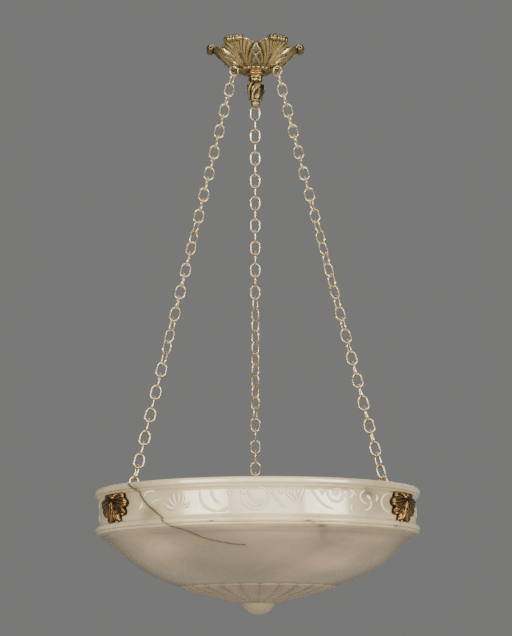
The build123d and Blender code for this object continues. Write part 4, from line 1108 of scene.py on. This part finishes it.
def applique_mesh(name, angle):
    """A vine leaf of ten lobes that spring from under three knobs, seated on the band."""
    low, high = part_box(f"leaf_applique_{name}")
    parts = [lobe_mesh(*lobe, side) for lobe in APPLIQUE_LOBES for side in (1, -1)]
    parts += [knob_mesh(x, y, KNOB_HEIGHT, (s * KNOB_STRETCH, s, s)) for x, y, s in KNOBS]
    # The plate behind the lobes is dark all over: painted shade between the lobes
    plate_points, plate_faces, plate_shade = knob_mesh(0, PLATE_UP, PLATE_HEIGHT, PLATE_SIZE)
    parts.append((plate_points, plate_faces, np.ones_like(plate_shade)))
    flat, faces = joined([(points, faces) for points, faces, _ in parts])
    middle = high.z / MM - LEAF_BELOW_TOP
    up = np.clip(middle + flat[:, 1], low.z / MM + 0.1, high.z / MM - 0.1)
    across = flat[:, 0] * (1 + OUTER_STRETCH * OUTER_SIDE[name] * np.sign(flat[:, 0]))
    # The underside follows the round band, and the rest is a flat casting
    on_stone = np.sqrt(BAND_R**2 - across**2) + np.maximum(flat[:, 2], LEAF_LOWEST)
    flat_out = BAND_R + np.clip(flat[:, 2], LEAF_LOWEST, LEAF_HIGHEST)
    out = np.where(flat[:, 2] <= LEAF_EDGE + 0.01, on_stone, flat_out)
    hollow = np.clip(np.concatenate([hollow for _, _, hollow in parts]), 0, 1)
    return turned(np.stack([out, across, up], -1), angle), faces, hollow


for station, angle in STATIONS.items():
    points, faces, hollow = applique_mesh(station, angle)
    leaf = make_piece(f"leaf_{station}", points, faces, bronze,
                      "bowl_assembly", {"hollow": hollow})
    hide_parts(f"leaf_applique_{station}")


# ---- Camera, floor and light

# The lights' colour
SOFT_WHITE = (1.0, 0.90, 0.71)
WORLD_COLOUR, WORLD_STRENGTH = (0.88, 0.87, 0.86), 0.22
# Lights: name, angle from the front, distance, height, width, tall, power and height looked at
LIGHTS = [
    ("soft_left", -36.5, 2.4, -0.54, 1.35, 0.4, 52, -0.6),
    ("soft_right", 46.5, 2.4, -0.54, 1.3, 0.4, 52, -0.6),
    ("soft_front", 5, 2.6, -0.50, 2.0, 0.5, 33, -0.6),
    ("soft_top", 0, 1.2, 1.6, 1.6, 1.6, 28, -0.5),
    ("soft_back", 176, 2.6, 0.7, 1.8, 1.4, 26, -0.6),
]
FLOOR_Z = -1.9
FLOOR_HALF = 12.0


def set_world(colour, strength):
    world = bpy.data.worlds.new("studio")
    world.use_nodes = True
    background = world.node_tree.nodes["Background"]
    background.inputs["Color"].default_value = (*colour, 1)
    background.inputs["Strength"].default_value = strength
    bpy.context.scene.world = world


def soft_light(name, azimuth, distance, height, width, tall, power, aim):
    """An area light that stands at an angle from the front and looks at a height."""
    lamp = bpy.data.lights.new(name, "AREA")
    lamp.shape = "RECTANGLE"
    lamp.color = SOFT_WHITE
    lamp.size, lamp.size_y, lamp.energy = width, tall, power
    stand = bpy.data.objects.new(name, lamp)
    a = math.radians(FRONT + azimuth)
    stand.location = (distance * math.cos(a), distance * math.sin(a), height)
    look = Vector((0, 0, aim)) - stand.location
    stand.rotation_mode = "QUATERNION"
    stand.rotation_quaternion = look.to_track_quat("-Z", "Y")
    bpy.context.scene.collection.objects.link(stand)


floor_corners = [(x * FLOOR_HALF, y * FLOOR_HALF, FLOOR_Z)
                 for x, y in ((-1, -1), (1, -1), (1, 1), (-1, 1))]
floor_paint = plain_material("floor", (0.74, 0.73, 0.71), (0.72, 0.71, 0.69), 0.8, 3, 0.02)
floor_mesh = bpy.data.meshes.new("studio_floor")
floor_mesh.from_pydata(floor_corners, [], [(0, 1, 2, 3)])
floor_mesh.materials.append(floor_paint)
studio_floor = bpy.data.objects.new("studio_floor", floor_mesh)
bpy.context.scene.collection.objects.link(studio_floor)

set_world(WORLD_COLOUR, WORLD_STRENGTH)
for light in LIGHTS:
    soft_light(*light)

camera_data = bpy.data.cameras.new("camera")
camera_data.lens = FOCAL_PIXELS / IMAGE_HEIGHT * SENSOR
camera_data.sensor_width = SENSOR
camera_data.clip_end = 100
camera = bpy.data.objects.new("camera", camera_data)
camera_turn = Matrix.Rotation(math.radians(CAMERA_AZIMUTH), 4, "Z")
camera_place = Matrix.Translation((CAMERA_SIDE * MM, -CAMERA_DISTANCE * MM, -CAMERA_DROP * MM))
camera_pitch = Matrix.Rotation(math.radians(90 + CAMERA_PITCH), 4, "X")
camera_roll = Matrix.Rotation(math.radians(CAMERA_ROLL), 4, "Z")
camera_aim = camera_pitch @ camera_roll
camera.matrix_world = camera_turn @ camera_place @ camera_aim
bpy.context.scene.collection.objects.link(camera)
bpy.context.scene.camera = camera
